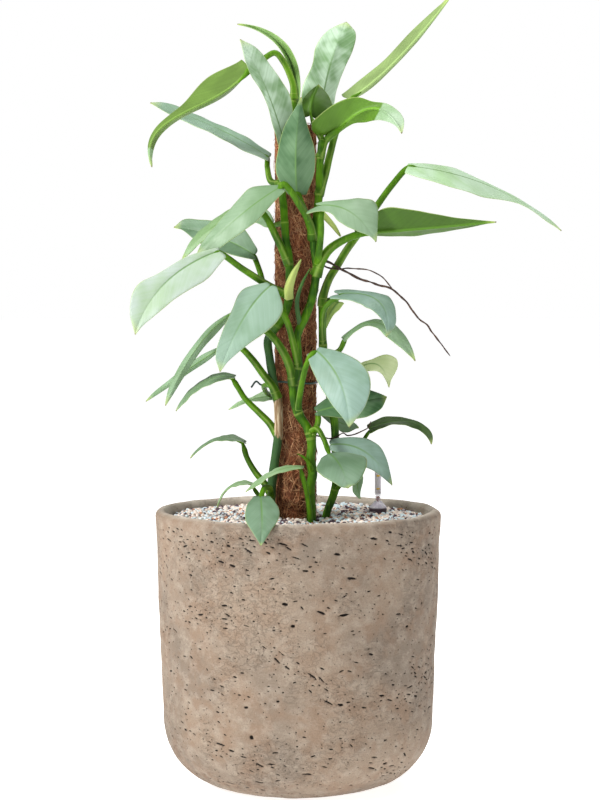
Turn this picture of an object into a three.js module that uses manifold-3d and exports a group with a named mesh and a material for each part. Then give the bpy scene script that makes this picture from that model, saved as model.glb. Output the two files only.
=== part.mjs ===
// Potted silver queen philodendron on a coir pole, in a straight fibre-clay pot. Millimetres, +Z up.
// The origin is the centre of the pot's flat base, and the front looks along -Y.
import * as THREE from 'three';
import { mergeVertices } from 'three/addons/utils/BufferGeometryUtils.js';
import Module from 'manifold-3d';

const wasm = await Module();
wasm.setup();

// Driving dimensions
const GAP = 0.3; // between pieces that touch
const POT_HEIGHT = 268.6;
const POT_RIM_RADIUS = 140;
const POT_LOW_RADIUS = 132.9; // where the straight side meets the base corner
const POT_CORNER = 63;
const POT_WALL = 12;
const POT_FLOOR = 16;
const POT_SEGMENTS = 36;
const LIP_STEPS = 4;
const CORNER_STEPS = 6;
const INNER_CORNER_STEPS = 4;
const FILL_TOP = 258.6; // surface of the granules
const GRAIN_RELIEF = 1.3;
const GRAIN_RINGS = 8;
const BALL_TOP = 232;
const BALL_BOTTOM = 40;
const BALL_RADIUS = [62, 76]; // at the bottom and the top
const BALL_SEGMENTS = 28;
const SPECK = 1; // cubic millimetres, below which a cut-off body is dropped
const POLE_AT = [-2.5, 0];
const POLE_RADIUS = 20.2;
const POLE_TOP = 643;
const POLE_BOTTOM = 52;
const CORE_RADIUS = 8;
const CORE_TOP = 635;
const CORE_TIP = 40; // below the sleeve, in the root ball
const COIR_RIDGE = 0.9;
const COIR_RIDGES = 9;
const COIR_RINGS = 14;
const COIR_TWIST = 0.11; // radians that the ridges turn in a millimetre
const COIR_ROUND = [3, 4]; // how far down and in the top edge is rounded off
const ROUND_SEGMENTS = 20;
const BLADE_THICKNESS = 1.1;
const TIP_HALF_WIDTH = 0.7;
const STATIONS = [0, 0.2, 0.45, 0.7, 0.9, 1]; // along a blade, where its half widths are given
const LOBE_REACH = 0.35; // share of a blade that its base lobes draw on
const LOBE_ROUND = 0.4;
const FLAT_FROM = 0.94; // share of a blade where a folded one starts to open flat, up to its tip
const WAVE_LAG = 1.9; // of the right margin behind the left one
const STEM_FACES = { sides: 7, step: 20 }; // round a stem, and millimetres between its rings
const SHEATH_STEP = 12;
const ROOT_STEP = 14;
const TIE_STEP = 6;
const TIE_HEIGHT = 393.5;
const TIE_RADIUS = 1;
const TIE_FACES = [5, 22]; // round the wire, and round the pole
const TIE_END = [[-23, -4, 393.5], [-32, -2, 390], [-37, -2, 391], [-41, -2, 394], [-46, -2, 388]];
const GAUGE_AT = [80, 38];
const GAUGE_TOP = 312;
const GAUGE_FOOT = 34;
const GAUGE_SEGMENTS = 16;
const SHAFT_RADIUS = 8;
const SHAFT_BORE = 5;
const COLLAR_RADIUS = 9;
const COLLAR_HIGH = 5;
const CONE_RADIUS = 8.6;
const CONE_TOP_RADIUS = 3.9;
const CONE_TOP = 12; // above the granules, as the next ones
const CONE_WALL = 1.1;
const TUBE_RADIUS = 3.3;
const TUBE_BORE = 2.1;
const TUBE_CAP = 1.5;
const FLOAT_RADIUS = 4.6;
const FLOAT_AT = [6, 46, 48]; // foot, shoulder and neck, above the shaft's foot
const ROD_RADIUS = 1;
const ROD_TOP = 17;

// Colours
const SILVER_GREEN = 0xa3bfae;
const LEAF_GREEN = 0x6f9a5c;
const STEM_GREEN = 0x6a9440;
const CLAY = 0xa9988a;
const GRAIN = 0xcfc6bb;
const COIR = 0x6f4a34;
const SOIL = 0x3b2c22;
const ROOT_BROWN = 0x3e2a20;
const WOOD = 0xb59a6a;
const TIE_GREEN = 0x1f4038;

// Joining and cutting
function toSolid(geometry) {
  geometry.deleteAttribute('normal');
  geometry.deleteAttribute('uv');
  const merged = mergeVertices(geometry, 1e-4);
  return new wasm.Manifold(new wasm.Mesh({
    numProp: 3,
    vertProperties: new Float32Array(merged.attributes.position.array),
    triVerts: new Uint32Array(merged.index.array),
  }));
}

function toGeometry(solid) {
  const mesh = solid.getMesh();
  const geometry = new THREE.BufferGeometry();
  geometry.setAttribute('position', new THREE.BufferAttribute(mesh.vertProperties, 3));
  geometry.setIndex(new THREE.BufferAttribute(mesh.triVerts, 1));
  geometry.computeVertexNormals();
  return geometry;
}

function shell(positions, index) {
  const geometry = new THREE.BufferGeometry();
  geometry.setAttribute('position', new THREE.Float32BufferAttribute(positions, 3));
  geometry.setIndex(index);
  return toSolid(geometry);
}

function joined(solids) {
  return solids.reduce((whole, solid) => whole.add(solid));
}

// A cut can leave a speck behind, which is dropped
function withoutSpecks(solid) {
  return joined(solid.decompose().filter((body) => body.volume() > SPECK));
}

function vector(point) {
  return new THREE.Vector3(...point);
}

// Round bodies
function lathe(profile, segments) {
  const points = profile.map(([r, z]) => new THREE.Vector2(r, z));
  const geometry = new THREE.LatheGeometry(points, segments);
  geometry.rotateX(Math.PI / 2);
  return geometry;
}

function cylinder(radius, bottom, top, segments) {
  return toSolid(lathe([[0, bottom], [radius, bottom], [radius, top], [0, top]], segments));
}

function sweep(points, radii, { sides = 5, step = 24, grow = 0 } = {}) {
  const curve = new THREE.CatmullRomCurve3(points.map(vector), false, 'centripetal');
  const steps = Math.max(points.length, Math.round(curve.getLength() / step));
  const frames = curve.computeFrenetFrames(steps, false);
  const positions = [];
  const index = [];
  for (let i = 0; i <= steps; i += 1) {
    const centre = curve.getPointAt(i / steps);
    if (i === 0) centre.addScaledVector(frames.tangents[i], -grow);
    if (i === steps) centre.addScaledVector(frames.tangents[i], grow);
    const radius = THREE.MathUtils.lerp(radii[0], radii[1], i / steps) + grow;
    for (let k = 0; k < sides; k += 1) {
      const turn = (2 * Math.PI * k) / sides;
      const point = centre.clone()
        .addScaledVector(frames.normals[i], Math.cos(turn) * radius)
        .addScaledVector(frames.binormals[i], Math.sin(turn) * radius);
      positions.push(...point);
    }
  }
  for (let i = 0; i < steps; i += 1) {
    for (let k = 0; k < sides; k += 1) {
      const a = i * sides + k;
      const b = i * sides + ((k + 1) % sides);
      index.push(a, b, b + sides, a, b + sides, a + sides);
    }
  }
  const last = steps * sides;
  for (let k = 1; k < sides - 1; k += 1) {
    index.push(0, k + 1, k, last, last + k, last + k + 1);
  }
  return shell(positions, index);
}

// Leaf blades: half widths at stations along a bowed midrib, with a side direction for each half
function halfWidth(t, half) {
  const widths = [...half, TIP_HALF_WIDTH];
  const slope = (k) => {
    const [before, after] = [Math.max(k - 1, 0), Math.min(k + 1, widths.length - 1)];
    return (widths[after] - widths[before]) / (STATIONS[after] - STATIONS[before]);
  };
  const i = Math.min(STATIONS.findLastIndex((station) => station <= t), widths.length - 2);
  const step = STATIONS[i + 1] - STATIONS[i];
  const s = (t - STATIONS[i]) / step;
  const between = THREE.MathUtils.lerp(widths[i], widths[i + 1], s * s * (3 - 2 * s));
  return Math.max(between + step * s * (1 - s) * ((1 - s) * slope(i) - s * slope(i + 1)), TIP_HALF_WIDTH);
}

function bladePoint(leaf, t, u) {
  const [base, bow, tip] = [leaf.base, leaf.bow, leaf.tip].map(vector);
  const midrib = leaf.droop
    ? new THREE.CubicBezierCurve3(base, bow, vector(leaf.droop), tip)
    : new THREE.QuadraticBezierCurve3(base, bow, tip);
  const along = midrib.getTangent(t);
  const left = vector(leaf.left).normalize().lerp(vector(leaf.leftEnd ?? leaf.left).normalize(), t);
  const right = vector(leaf.right).normalize().lerp(vector(leaf.rightEnd ?? leaf.right).normalize(), t);
  const across = right.clone().sub(left);
  const flat = THREE.MathUtils.smoothstep(t, FLAT_FROM, 1);
  left.lerp(across.clone().multiplyScalar(-0.5), flat);
  right.lerp(across.clone().multiplyScalar(0.5), flat);
  const normal = new THREE.Vector3().crossVectors(along, across).normalize();
  const half = u < 0 ? leaf.leftHalf : leaf.rightHalf;
  const width = halfWidth(t, half);
  const out = Math.abs(u);
  const side = (u < 0 ? left : right).normalize().multiplyScalar(out * width);
  const fade = Math.max(0, 1 - t / LOBE_REACH) ** 2;
  const back = fade * leaf.lobe * Math.sqrt(out) * (1 - LOBE_ROUND * out ** 3);
  const bulge = leaf.bulge * width * out * (1 - out);
  const turn = 2 * Math.PI * leaf.waves * t + (u < 0 ? 0 : WAVE_LAG);
  const wave = (leaf.wave * width) / Math.max(...half) * out ** 2 * Math.sin(turn);
  return midrib.getPoint(t).add(side).addScaledVector(along, -back).addScaledVector(normal, bulge + wave);
}

function blade(leaf) {
  const { rows, columns } = leaf;
  const place = (i, j) => bladePoint(leaf, i / rows, (2 * j) / columns - 1);
  const positions = [];
  for (const face of [0.5, -0.5]) {
    for (let i = 0; i <= rows; i += 1) {
      for (let j = 0; j <= columns; j += 1) {
        const here = place(i, j);
        const along = place(Math.min(i + 0.1, rows), j).sub(place(Math.max(i - 0.1, 0), j));
        const rightward = place(i, Math.min(j + 0.1, columns)).sub(here);
        const leftward = place(i, Math.max(j - 0.1, 0)).sub(here);
        const normal = rightward.cross(along).normalize().sub(leftward.cross(along).normalize()).normalize();
        positions.push(...here.addScaledVector(normal, -face * BLADE_THICKNESS));
      }
    }
  }
  const under = (rows + 1) * (columns + 1);
  const at = (i, j) => i * (columns + 1) + j;
  const index = [];
  for (let i = 0; i < rows; i += 1) {
    for (let j = 0; j < columns; j += 1) {
      const [a, b, c, d] = [at(i, j), at(i + 1, j), at(i + 1, j + 1), at(i, j + 1)];
      index.push(a, b, c, a, c, d);
      index.push(a + under, c + under, b + under, a + under, d + under, c + under);
    }
  }
  const rim = [];
  for (let i = rows; i > 0; i -= 1) rim.push(at(i, 0));
  for (let j = 0; j < columns; j += 1) rim.push(at(0, j));
  for (let i = 0; i < rows; i += 1) rim.push(at(i, columns));
  for (let j = columns; j > 0; j -= 1) rim.push(at(rows, j));
  rim.forEach((a, k) => {
    const b = rim[(k + 1) % rim.length];
    index.push(a, b, b + under, a, b + under, a + under);
  });
  return shell(positions, index);
}

// Climbing stems: centre lines from the root ball up the pole
const STEMS = {
  stem_left: {
    path: [
      [-27, -16, 205], [-26.5, -16, 262], [-26.4, -16, 286], [-23, -19, 315], [-19.5, -22, 343],
      [-19.6, -22, 373], [-23.8, -19, 394], [-28, -15, 419], [-29.4, -13, 435], [-23, -19, 445],
      [-14, -25, 458], [-9, -28, 475], [-8.8, -28.5, 511], [-12, -27.5, 533], [-14, -26, 563],
      [-16, -24, 590], [-13, -25, 622], [-7, -26, 650], [-4, -26, 668],
    ],
    radii: [4.6, 3.4],
  },
  stem_centre: {
    path: [
      [12.7, -29, 205], [12.7, -29, 262], [12, -30, 295], [14, -31, 305], [12, -31, 320], [13, -30.5, 336],
      [9, -30.5, 350], [1, -30.5, 363], [-3, -31, 374], [-4.5, -31, 392], [0, -31, 408], [-1, -31, 439],
      [7, -30, 458], [13, -28, 474], [17, -27, 495], [18, -26.5, 506], [15, -28, 528], [17, -27, 548],
      [20, -24, 575], [21, -23, 605], [23, -21, 630],
    ],
    radii: [4.8, 3.6],
  },
  stem_right: {
    path: [
      [26, -14, 205], [27, -14, 262], [34, -12, 282], [36.6, -12, 293], [36.2, -12, 337], [35, -13, 357],
      [31, -15, 380], [27, -17, 400], [24, -19, 430], [23.5, -20, 458], [24, -20, 476],
    ],
    radii: [3.7, 4],
  },
};

// Leaves, by hand from the photograph. stalk runs from the stem to the blade, and base, bow, droop and tip
// are the midrib. left and right are the ways from the midrib to the margins, and turn towards leftEnd and
// rightEnd at the tip. leftHalf and rightHalf are the widths of the halves at the stations.
const LEAVES = [
  {
    name: 'leaf_top_right',
    stem: 'stem_centre',
    stalk: [[20, -24, 575], [26, -16, 594], [31, -10, 615], [38, -5, 639], [49, -4, 657]],
    radii: [4.2, 2.6],
    base: [53, -2, 670],
    bow: [91, 4, 694],
    tip: [151, 40, 773],
    left: [-5, 15, 6],
    leftHalf: [21, 25, 21, 21, 11],
    right: [3, 12, -3],
    rightEnd: [4, 6, -4],
    rightHalf: [4, 7, 5, 4, 2],
    lobe: 8,
  },
  {
    name: 'leaf_top_upright',
    stem: 'stem_centre',
    stalk: [[35, -6, 630], [29, 4, 651]],
    radii: [3, 2.4],
    base: [24, 15, 667],
    bow: [29, 20, 707],
    tip: [48, 44, 749],
    left: [-28, -3, 0],
    leftHalf: [20, 22, 18, 20, 14],
    right: [12, 14, 0],
    rightEnd: [14, 2, -3],
    rightHalf: [18, 16, 17, 18, 13],
  },
  {
    name: 'leaf_top_left',
    stem: 'stem_left',
    stalk: [[-14, -25, 605], [-13, -31, 613]],
    radii: [3.4, 2.6],
    base: [-13, -34, 620],
    bow: [-24, -55, 670],
    tip: [-54, -72, 718],
    left: [-9, -12, -2],
    leftHalf: [8, 9, 8, 13, 6],
    right: [10, 5, 3],
    rightHalf: [5, 15, 21, 16, 10],
  },
  {
    name: 'leaf_newest_curled',
    stem: 'stem_left',
    stalk: [[-4, -25, 664], [-3, -14, 660]],
    radii: [2.4, 2],
    base: [-2, -6, 665],
    bow: [0, -6, 733],
    tip: [-59, -2, 741],
    left: [-3, -8, -3],
    leftEnd: [-1, -8, -6],
    leftHalf: [9, 9, 8, 5, 2],
    right: [5, -7, 3],
    rightEnd: [1, -7, 6],
    rightHalf: [7, 10, 9, 5, 2],
    lobe: 2,
  },
  {
    name: 'leaf_top_back',
    stem: 'stem_centre',
    stalk: [[23, -20, 628], [16, -14, 642]],
    radii: [2.6, 2.2],
    base: [12, -9, 653],
    bow: [12, -8, 672],
    tip: [20, 6, 683],
    left: [-13, -1, -1],
    leftHalf: [9, 10, 9, 6, 3],
    right: [18, -1, -9],
    rightHalf: [21, 25, 23, 18, 9],
    lobe: 3,
  },
  {
    name: 'leaf_upper_left_drooping',
    stem: 'stem_left',
    stalk: [
      [-4, -26, 666], [-4.5, -26, 679], [-8, -26, 690], [-14, -26, 702], [-22, -26, 710.5],
      [-33, -25, 705],
    ],
    radii: [3.4, 2.6],
    base: [-48, -23, 694],
    bow: [-77, -30, 653],
    droop: [-156, -42, 653],
    tip: [-139, -50, 600],
    left: [-7, 15, 9],
    leftEnd: [-6, 8, 0],
    leftHalf: [22, 43, 19, 9, 3],
    right: [-0.5, 12, 1],
    rightEnd: [5, 8, -2],
    rightHalf: [20, 30, 14, 10, 6],
    lobe: 4,
  },
  {
    name: 'leaf_upper_left_back',
    stem: 'stem_left',
    stalk: [[-16, -24, 586], [-26, -14, 588], [-30, 0, 603]],
    radii: [3.2, 2.4],
    base: [-30, 8, 614],
    bow: [-77, 40, 647],
    tip: [-149, 72, 672],
    left: [-2, -14, -5],
    leftHalf: [11, 22, 25, 21, 11],
    right: [1, 12, 6],
    rightHalf: [13, 13, 11, 13, 11],
    lobe: 6,
  },
  {
    name: 'leaf_centre_spear',
    stem: 'stem_centre',
    stalk: [[15, -28, 532], [8, -33, 554]],
    radii: [3.6, 2.8],
    base: [-1, -38, 577],
    bow: [-5, -62, 617],
    tip: [3, -62, 665],
    left: [-20, 7, 2],
    leftHalf: [10, 20, 18, 13, 4],
    right: [15, 7, 1],
    rightHalf: [10, 19, 20, 11, 3],
    lobe: 5,
  },
  {
    name: 'leaf_upper_right_arching',
    stem: 'stem_centre',
    stalk: [[21, -23, 610], [27, -19, 628]],
    radii: [3.8, 2.8],
    base: [38, -18, 638],
    bow: [78, -30, 679],
    tip: [98, -60, 631],
    left: [-8, -12, 14],
    leftEnd: [12, 10, 8],
    leftHalf: [29, 20, 7, 9, 10],
    right: [2, 10, -12],
    rightEnd: [-8, 6, -6],
    rightHalf: [4, 9, 17, 10, 2],
    lobe: 32,
  },
  {
    name: 'leaf_left_front_silver',
    stem: 'stem_centre',
    stalk: [[14, -28, 532], [12, -34, 545], [7, -40, 556], [0, -45, 567], [-8, -49, 579], [-14, -50, 584]],
    radii: [4.2, 3],
    base: [-19, -50, 580],
    bow: [-52, -60, 560],
    tip: [-97, -50, 516],
    left: [-10, 12, 8],
    leftHalf: [4, 21, 18, 12, 7],
    right: [13, -9, -13],
    rightHalf: [7, 11, 16, 14, 9],
    lobe: 5,
  },
  {
    name: 'leaf_left_front_under',
    stem: 'stem_left',
    stalk: [[-9, -28.5, 508], [-20, -33, 532], [-34, -34, 557]],
    radii: [4, 2.8],
    base: [-44, -30, 562],
    bow: [-88, -30, 549],
    tip: [-112, -22, 513],
    left: [-3, 11, 5],
    leftHalf: [8, 14, 14, 12, 6],
    right: [8, -6, -9],
    rightHalf: [4, 8, 6, 5, 3],
    lobe: 3,
  },
  {
    name: 'leaf_far_left',
    stem: 'stem_left',
    stalk: [[-9, -28, 478], [-27, -35, 487], [-52, -48, 503]],
    radii: [4, 2.8],
    base: [-76, -60, 520],
    bow: [-136, -80, 498],
    tip: [-152, -95, 442],
    left: [-12, 4, 12],
    leftHalf: [4, 8, 11, 20, 13],
    right: [12, -10, -14],
    rightHalf: [10, 23, 21, 15, 5],
    lobe: 4,
  },
  {
    name: 'leaf_left_back_grey',
    stem: 'stem_left',
    stalk: [[-20, -21, 450], [-31, -8, 478], [-38, 4, 503]],
    radii: [3.6, 2.4],
    base: [-45, 12, 519],
    bow: [-77, 45, 540],
    tip: [-126, 78, 547],
    left: [-2, -14, -10],
    leftHalf: [7, 17, 22, 18, 3],
    right: [2, 10, 21],
    rightHalf: [9, 22, 19, 14, 10],
  },
  {
    name: 'leaf_left_back_small',
    stem: 'stem_left',
    stalk: [[-13, -26, 548], [-27, -8, 546], [-28, 14, 548]],
    radii: [2.6, 2.2],
    base: [-27, 24, 550],
    bow: [-38, 32, 560],
    tip: [-51, 54, 552],
    left: [-2, -5, -8],
    leftHalf: [5, 9, 8, 6, 3],
    right: [2, 3, 9],
    rightHalf: [5, 9, 8, 6, 3],
    lobe: 5,
  },
  {
    name: 'leaf_middle_left_broad',
    stem: 'stem_centre',
    stalk: [[0, -31, 408], [-4, -36, 428], [-11, -40, 454], [-22, -45, 475]],
    radii: [3.2, 2.6],
    base: [-27, -53, 487],
    bow: [-54, -68, 465],
    tip: [-74, -68, 406],
    left: [-22, 3, 9],
    leftHalf: [6, 17, 14, 12, 9],
    right: [19, -2, -10],
    rightHalf: [6, 26, 27, 15, 4],
    lobe: 4,
  },
  {
    name: 'leaf_middle_left_folded',
    stem: 'stem_centre',
    stalk: [[-4.5, -31, 392], [-8, -34, 409], [-15, -37, 425], [-27, -37, 441], [-48, -34, 454]],
    radii: [4.4, 2.8],
    base: [-67, -33, 458],
    bow: [-101, -38, 436],
    tip: [-128, -34, 372],
    left: [-5, 15, 4],
    leftEnd: [-8, 8, 5],
    leftHalf: [5, 8, 7, 7, 5],
    right: [8, 15, -7],
    rightEnd: [8, 6, -7],
    rightHalf: [3, 8, 7, 6, 3],
  },
  {
    name: 'leaf_middle_left_narrow',
    stem: 'stem_left',
    stalk: [
      [-20, -22, 378], [-25, -23, 390], [-34, -24, 402], [-45, -25, 417], [-56, -25, 428], [-68, -24, 432],
    ],
    radii: [4, 2.6],
    base: [-80, -20, 424],
    bow: [-104, -10, 410],
    tip: [-151, 22, 373],
    left: [-4, 12, 6],
    leftEnd: [-6, 8, 8],
    leftHalf: [4, 7, 6, 4, 3],
    right: [4, 10, -6],
    rightEnd: [6, 6, -8],
    rightHalf: [3, 6, 5, 4, 2],
  },
  {
    name: 'leaf_low_left_side',
    stem: 'stem_left',
    stalk: [[-20, -21, 342], [-28, -18, 354], [-38, -15, 364], [-52, -12, 378], [-59, -10, 389]],
    radii: [3.6, 2.4],
    base: [-65, -8, 399],
    bow: [-99, 0, 401],
    tip: [-121, 16, 364],
    left: [0, 16, 4],
    leftHalf: [8, 13, 12, 10, 5],
    right: [-2, -15, -5],
    rightEnd: [-1, -8, -8],
    rightHalf: [6, 10, 11, 12, 5],
  },
  {
    name: 'leaf_low_left_back',
    stem: 'stem_left',
    stalk: [[-24, -19, 392], [-33, -6, 390], [-31, 12, 382]],
    radii: [3, 2],
    base: [-27, 22, 378],
    bow: [-47, 30, 377],
    tip: [-70, 54, 363],
    left: [0, 7, 7],
    leftHalf: [6, 7, 4, 4, 2],
    right: [0, -7, -6],
    rightHalf: [6, 6, 3, 3, 2],
    lobe: 5,
  },
  {
    name: 'leaf_front_broad',
    stem: 'stem_centre',
    stalk: [[0, -30.5, 364], [1, -37, 378], [4, -43, 396], [8, -48, 412], [13, -50, 422]],
    radii: [3.2, 2.6],
    base: [18, -51, 425],
    bow: [46, -84, 404],
    tip: [48, -92, 355],
    left: [-17, 3, -10],
    leftHalf: [10, 17, 19, 14, 5],
    right: [21, 4, 14],
    rightHalf: [5, 16, 26, 29, 19],
    lobe: 4,
  },
  {
    name: 'leaf_behind_front_broad',
    stem: 'stem_centre',
    stalk: [[12, -30.5, 340], [19, -32, 354]],
    radii: [3, 2.4],
    base: [20, -33, 367],
    bow: [51, -36, 376],
    tip: [86, -26, 380],
    left: [2, -6, -13],
    leftHalf: [4, 10, 16, 17, 11],
    right: [-2, 7, 17],
    rightHalf: [5, 12, 16, 12, 5],
  },
  {
    name: 'leaf_right_arching_thin',
    stem: 'stem_right',
    stalk: [[25, -18, 418], [33, -20, 421], [40, -21, 425]],
    radii: [3, 2.2],
    base: [45, -22, 438],
    bow: [80, -18, 475],
    tip: [112, -50, 416],
    left: [-3, 14, 3],
    leftEnd: [10, 6, 7],
    leftHalf: [6, 7, 6, 9, 5],
    right: [3, -14, -6],
    rightEnd: [-10, -6, -7],
    rightHalf: [6, 9, 8, 10, 5],
    lobe: 4,
    wave: 1.5,
  },
  {
    name: 'leaf_right_hooked',
    stem: 'stem_right',
    stalk: [[24, -19, 430], [23, -26, 448], [25, -31, 464], [33, -33, 473]],
    radii: [3, 2.4],
    base: [45, -34, 480],
    bow: [92, -50, 483],
    tip: [84, -56, 439],
    left: [-8, -10, -11],
    leftEnd: [-11, -4, 2],
    leftHalf: [7, 14, 16, 10, 2],
    right: [5, 12, 6],
    rightEnd: [11, 6, 2],
    rightHalf: [9, 8, 15, 12, 9],
    lobe: 18,
  },
  {
    name: 'leaf_right_small_yellow',
    stem: 'stem_right',
    stalk: [[24, -20, 468], [32, -12, 474]],
    radii: [2.6, 2],
    base: [39, -7, 471],
    bow: [30, -8, 463],
    tip: [25, -9, 443],
    left: [8, 3, -5],
    leftHalf: [5, 6, 4, 3, 2],
    right: [-8, 3, 5],
    rightHalf: [5, 8, 6, 3, 2],
    lobe: 4,
  },
  {
    name: 'leaf_right_silver',
    stem: 'stem_centre',
    stalk: [[18, -26.5, 506], [20, -36, 518], [22, -43, 540], [22, -47, 557]],
    radii: [3.4, 2.8],
    base: [24, -47, 564],
    bow: [54, -60, 565],
    tip: [74, -62, 529],
    left: [-10, -6, -9],
    leftHalf: [13, 10, 15, 12, 3],
    right: [8, 9, 10],
    rightHalf: [4, 9, 21, 27, 11],
    lobe: 13,
  },
  {
    name: 'leaf_far_right_long',
    stem: 'stem_right',
    stalk: [
      [24, -20, 476], [30, -19, 494], [38, -17, 507], [47, -15, 522], [58, -12, 537], [78, -8, 567],
      [92, -4, 586],
    ],
    radii: [4.2, 2.8],
    base: [108, 0, 604],
    bow: [195, 25, 597],
    tip: [265, 60, 543],
    left: [4, 15, 8],
    leftHalf: [6, 15, 5, 4, 4],
    right: [-3, -16, -8],
    rightHalf: [17, 31, 31, 6, 5],
    lobe: 3,
  },
  {
    name: 'leaf_right_underside',
    stem: 'stem_centre',
    stalk: [[17, -27, 497], [22, -29, 510], [30, -31, 522], [43, -31, 531]],
    radii: [5, 3],
    base: [57, -30, 538],
    bow: [119, -42, 541],
    tip: [188, -58, 548],
    left: [0, -9, 22],
    leftHalf: [5, 23, 19, 9, 3],
    right: [1, 12, -4],
    rightHalf: [9, 12, 18, 13, 4],
    lobe: 4,
  },
  {
    name: 'leaf_low_right_wavy',
    stem: 'stem_right',
    stalk: [[36.6, -12, 300], [50, -8, 317], [61, -6, 332]],
    radii: [2.4, 1.6],
    base: [71, -6, 348],
    bow: [90, 1, 358],
    droop: [132, 7, 360],
    tip: [132, 14, 331],
    left: [-2, 10, 6],
    leftEnd: [8, 8, 2],
    leftHalf: [8, 14, 6, 4, 4],
    right: [2, -12, -4],
    rightEnd: [-8, -6, -2],
    rightHalf: [8, 12, 10, 9, 5],
    lobe: 4,
    wave: 1.4,
  },
  {
    name: 'leaf_low_right_broad',
    stem: 'stem_right',
    stalk: [[36.2, -12, 330], [35, -21, 332]],
    radii: [2.8, 2.4],
    base: [33, -28, 334],
    bow: [69, -36, 339],
    tip: [91, -34, 295],
    left: [-7, -3, -15],
    leftHalf: [5, 11, 14, 9, 4],
    right: [5, 8, 9],
    rightHalf: [7, 10, 15, 15, 7],
  },
  {
    name: 'leaf_low_heart',
    stem: 'stem_centre',
    stalk: [[11, -30.5, 346], [18, -38, 350], [24, -45, 342]],
    radii: [2.8, 2.2],
    base: [30, -50, 327],
    bow: [42, -80, 321],
    tip: [47, -94, 298],
    left: [-12, -6, -8],
    leftHalf: [10, 22, 20, 14, 7],
    right: [20, 2, 1],
    rightHalf: [13, 28, 26, 19, 10],
    lobe: 3,
  },
  {
    name: 'leaf_low_spur',
    stem: 'stem_right',
    stalk: [[36.6, -12, 288], [47, -26, 300]],
    radii: [2.2, 1.6],
    base: [57, -39, 303],
    bow: [56, -43, 292],
    tip: [60, -45, 283],
    left: [-5, -2, -4],
    leftHalf: [3, 6, 6, 4, 2],
    right: [6, 2, 5],
    rightHalf: [4, 8, 7, 3, 1],
    lobe: 2,
  },
  {
    name: 'leaf_low_back_pale',
    stem: 'stem_right',
    stalk: [[34, -13, 362], [30, -6, 366]],
    radii: [2.4, 1.8],
    base: [26, 3, 360],
    bow: [45, 6, 350],
    tip: [60, 8, 348],
    left: [0, 5, 7],
    leftHalf: [5, 6, 8, 7, 4],
    right: [0, -5, -7],
    rightHalf: [2, 7, 10, 7, 2],
    lobe: 4,
  },
  {
    name: 'leaf_lower_left_arched',
    stem: 'stem_left',
    stalk: [[-26.4, -16, 284], [-33, -16, 295], [-42, -14, 306], [-50, -12, 320]],
    radii: [3.4, 2.4],
    base: [-54, -12, 336],
    bow: [-80, -14, 348],
    tip: [-104, -40, 322],
    left: [0, 16, 2],
    leftHalf: [8, 14, 12, 9, 5],
    right: [0, -15, -2],
    rightHalf: [6, 12, 11, 8, 5],
  },
  {
    name: 'leaf_low_centre_narrow',
    stem: 'stem_centre',
    stalk: [[12.7, -30, 232], [12.5, -44, 244], [12, -54, 264], [8, -56, 291], [4, -57, 306]],
    radii: [2.8, 2.2],
    base: [2, -58, 315],
    bow: [-25, -68, 317],
    tip: [-50, -68, 292],
    left: [-2, -12, -5],
    leftHalf: [3, 7, 9, 12, 5],
    right: [2, 14, 3],
    rightHalf: [3, 6, 10, 14, 6],
  },
  {
    name: 'leaf_over_rim',
    stem: 'stem_left',
    stalk: [[-26.5, -16, 282], [-27, -40, 292], [-32, -70, 296]],
    radii: [3, 2.4],
    base: [-35, -96, 290],
    bow: [-32, -147, 273],
    tip: [-34, -150, 251],
    left: [-15, 0, -1],
    leftHalf: [7, 14, 15, 9, 3],
    right: [13, 0, -1],
    rightHalf: [9, 16, 15, 8, 3],
    lobe: 3,
  },
  {
    name: 'leaf_over_granules',
    stem: 'stem_left',
    stalk: [[-26.5, -16, 274], [-36, -28, 282], [-42, -35, 291]],
    radii: [2.4, 1.8],
    base: [-44, -38, 297],
    bow: [-69, -46, 304],
    tip: [-78, -50, 275],
    left: [0, 12, 1],
    leftHalf: [4, 8, 8, 6, 3],
    right: [0, -12, -2],
    rightHalf: [4, 8, 8, 6, 3],
    lobe: 5,
  },
  {
    name: 'leaf_right_pale',
    stem: 'stem_right',
    stalk: [[27, -17, 400], [44, -6, 396], [56, 3, 399]],
    radii: [2.8, 2],
    base: [64, 8, 409],
    bow: [85, 16, 418],
    tip: [91, 40, 386],
    left: [2, 6, 9],
    leftEnd: [12, 6, 3],
    leftHalf: [5, 6, 17, 19, 4],
    right: [-3, -6, -9],
    rightEnd: [-10, -6, 2],
    rightHalf: [6, 11, 12, 5, 2],
  },
];

// What a leaf has where its row gives nothing else
const LOBE_SHARE = 0.09; // of the blade's length
const BULGE = 0.1; // height of a half's bulge, as a share of its width
const WAVE = 0.8; // height of the waves along the margin
const WAVES = 1.5;
const LONG_BLADE = 75; // from here on a blade has more rows of faces
const BLADE_ROWS = 5;
const LONG_BLADE_ROWS = 8;
const BLADE_COLUMNS = 4;
for (const leaf of LEAVES) {
  const length = vector(leaf.tip).distanceTo(vector(leaf.base));
  leaf.lobe ??= LOBE_SHARE * length;
  leaf.bulge ??= BULGE;
  leaf.wave ??= WAVE;
  leaf.waves ??= WAVES;
  leaf.rows = length > LONG_BLADE ? LONG_BLADE_ROWS : BLADE_ROWS;
  leaf.columns = BLADE_COLUMNS;
}

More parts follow.
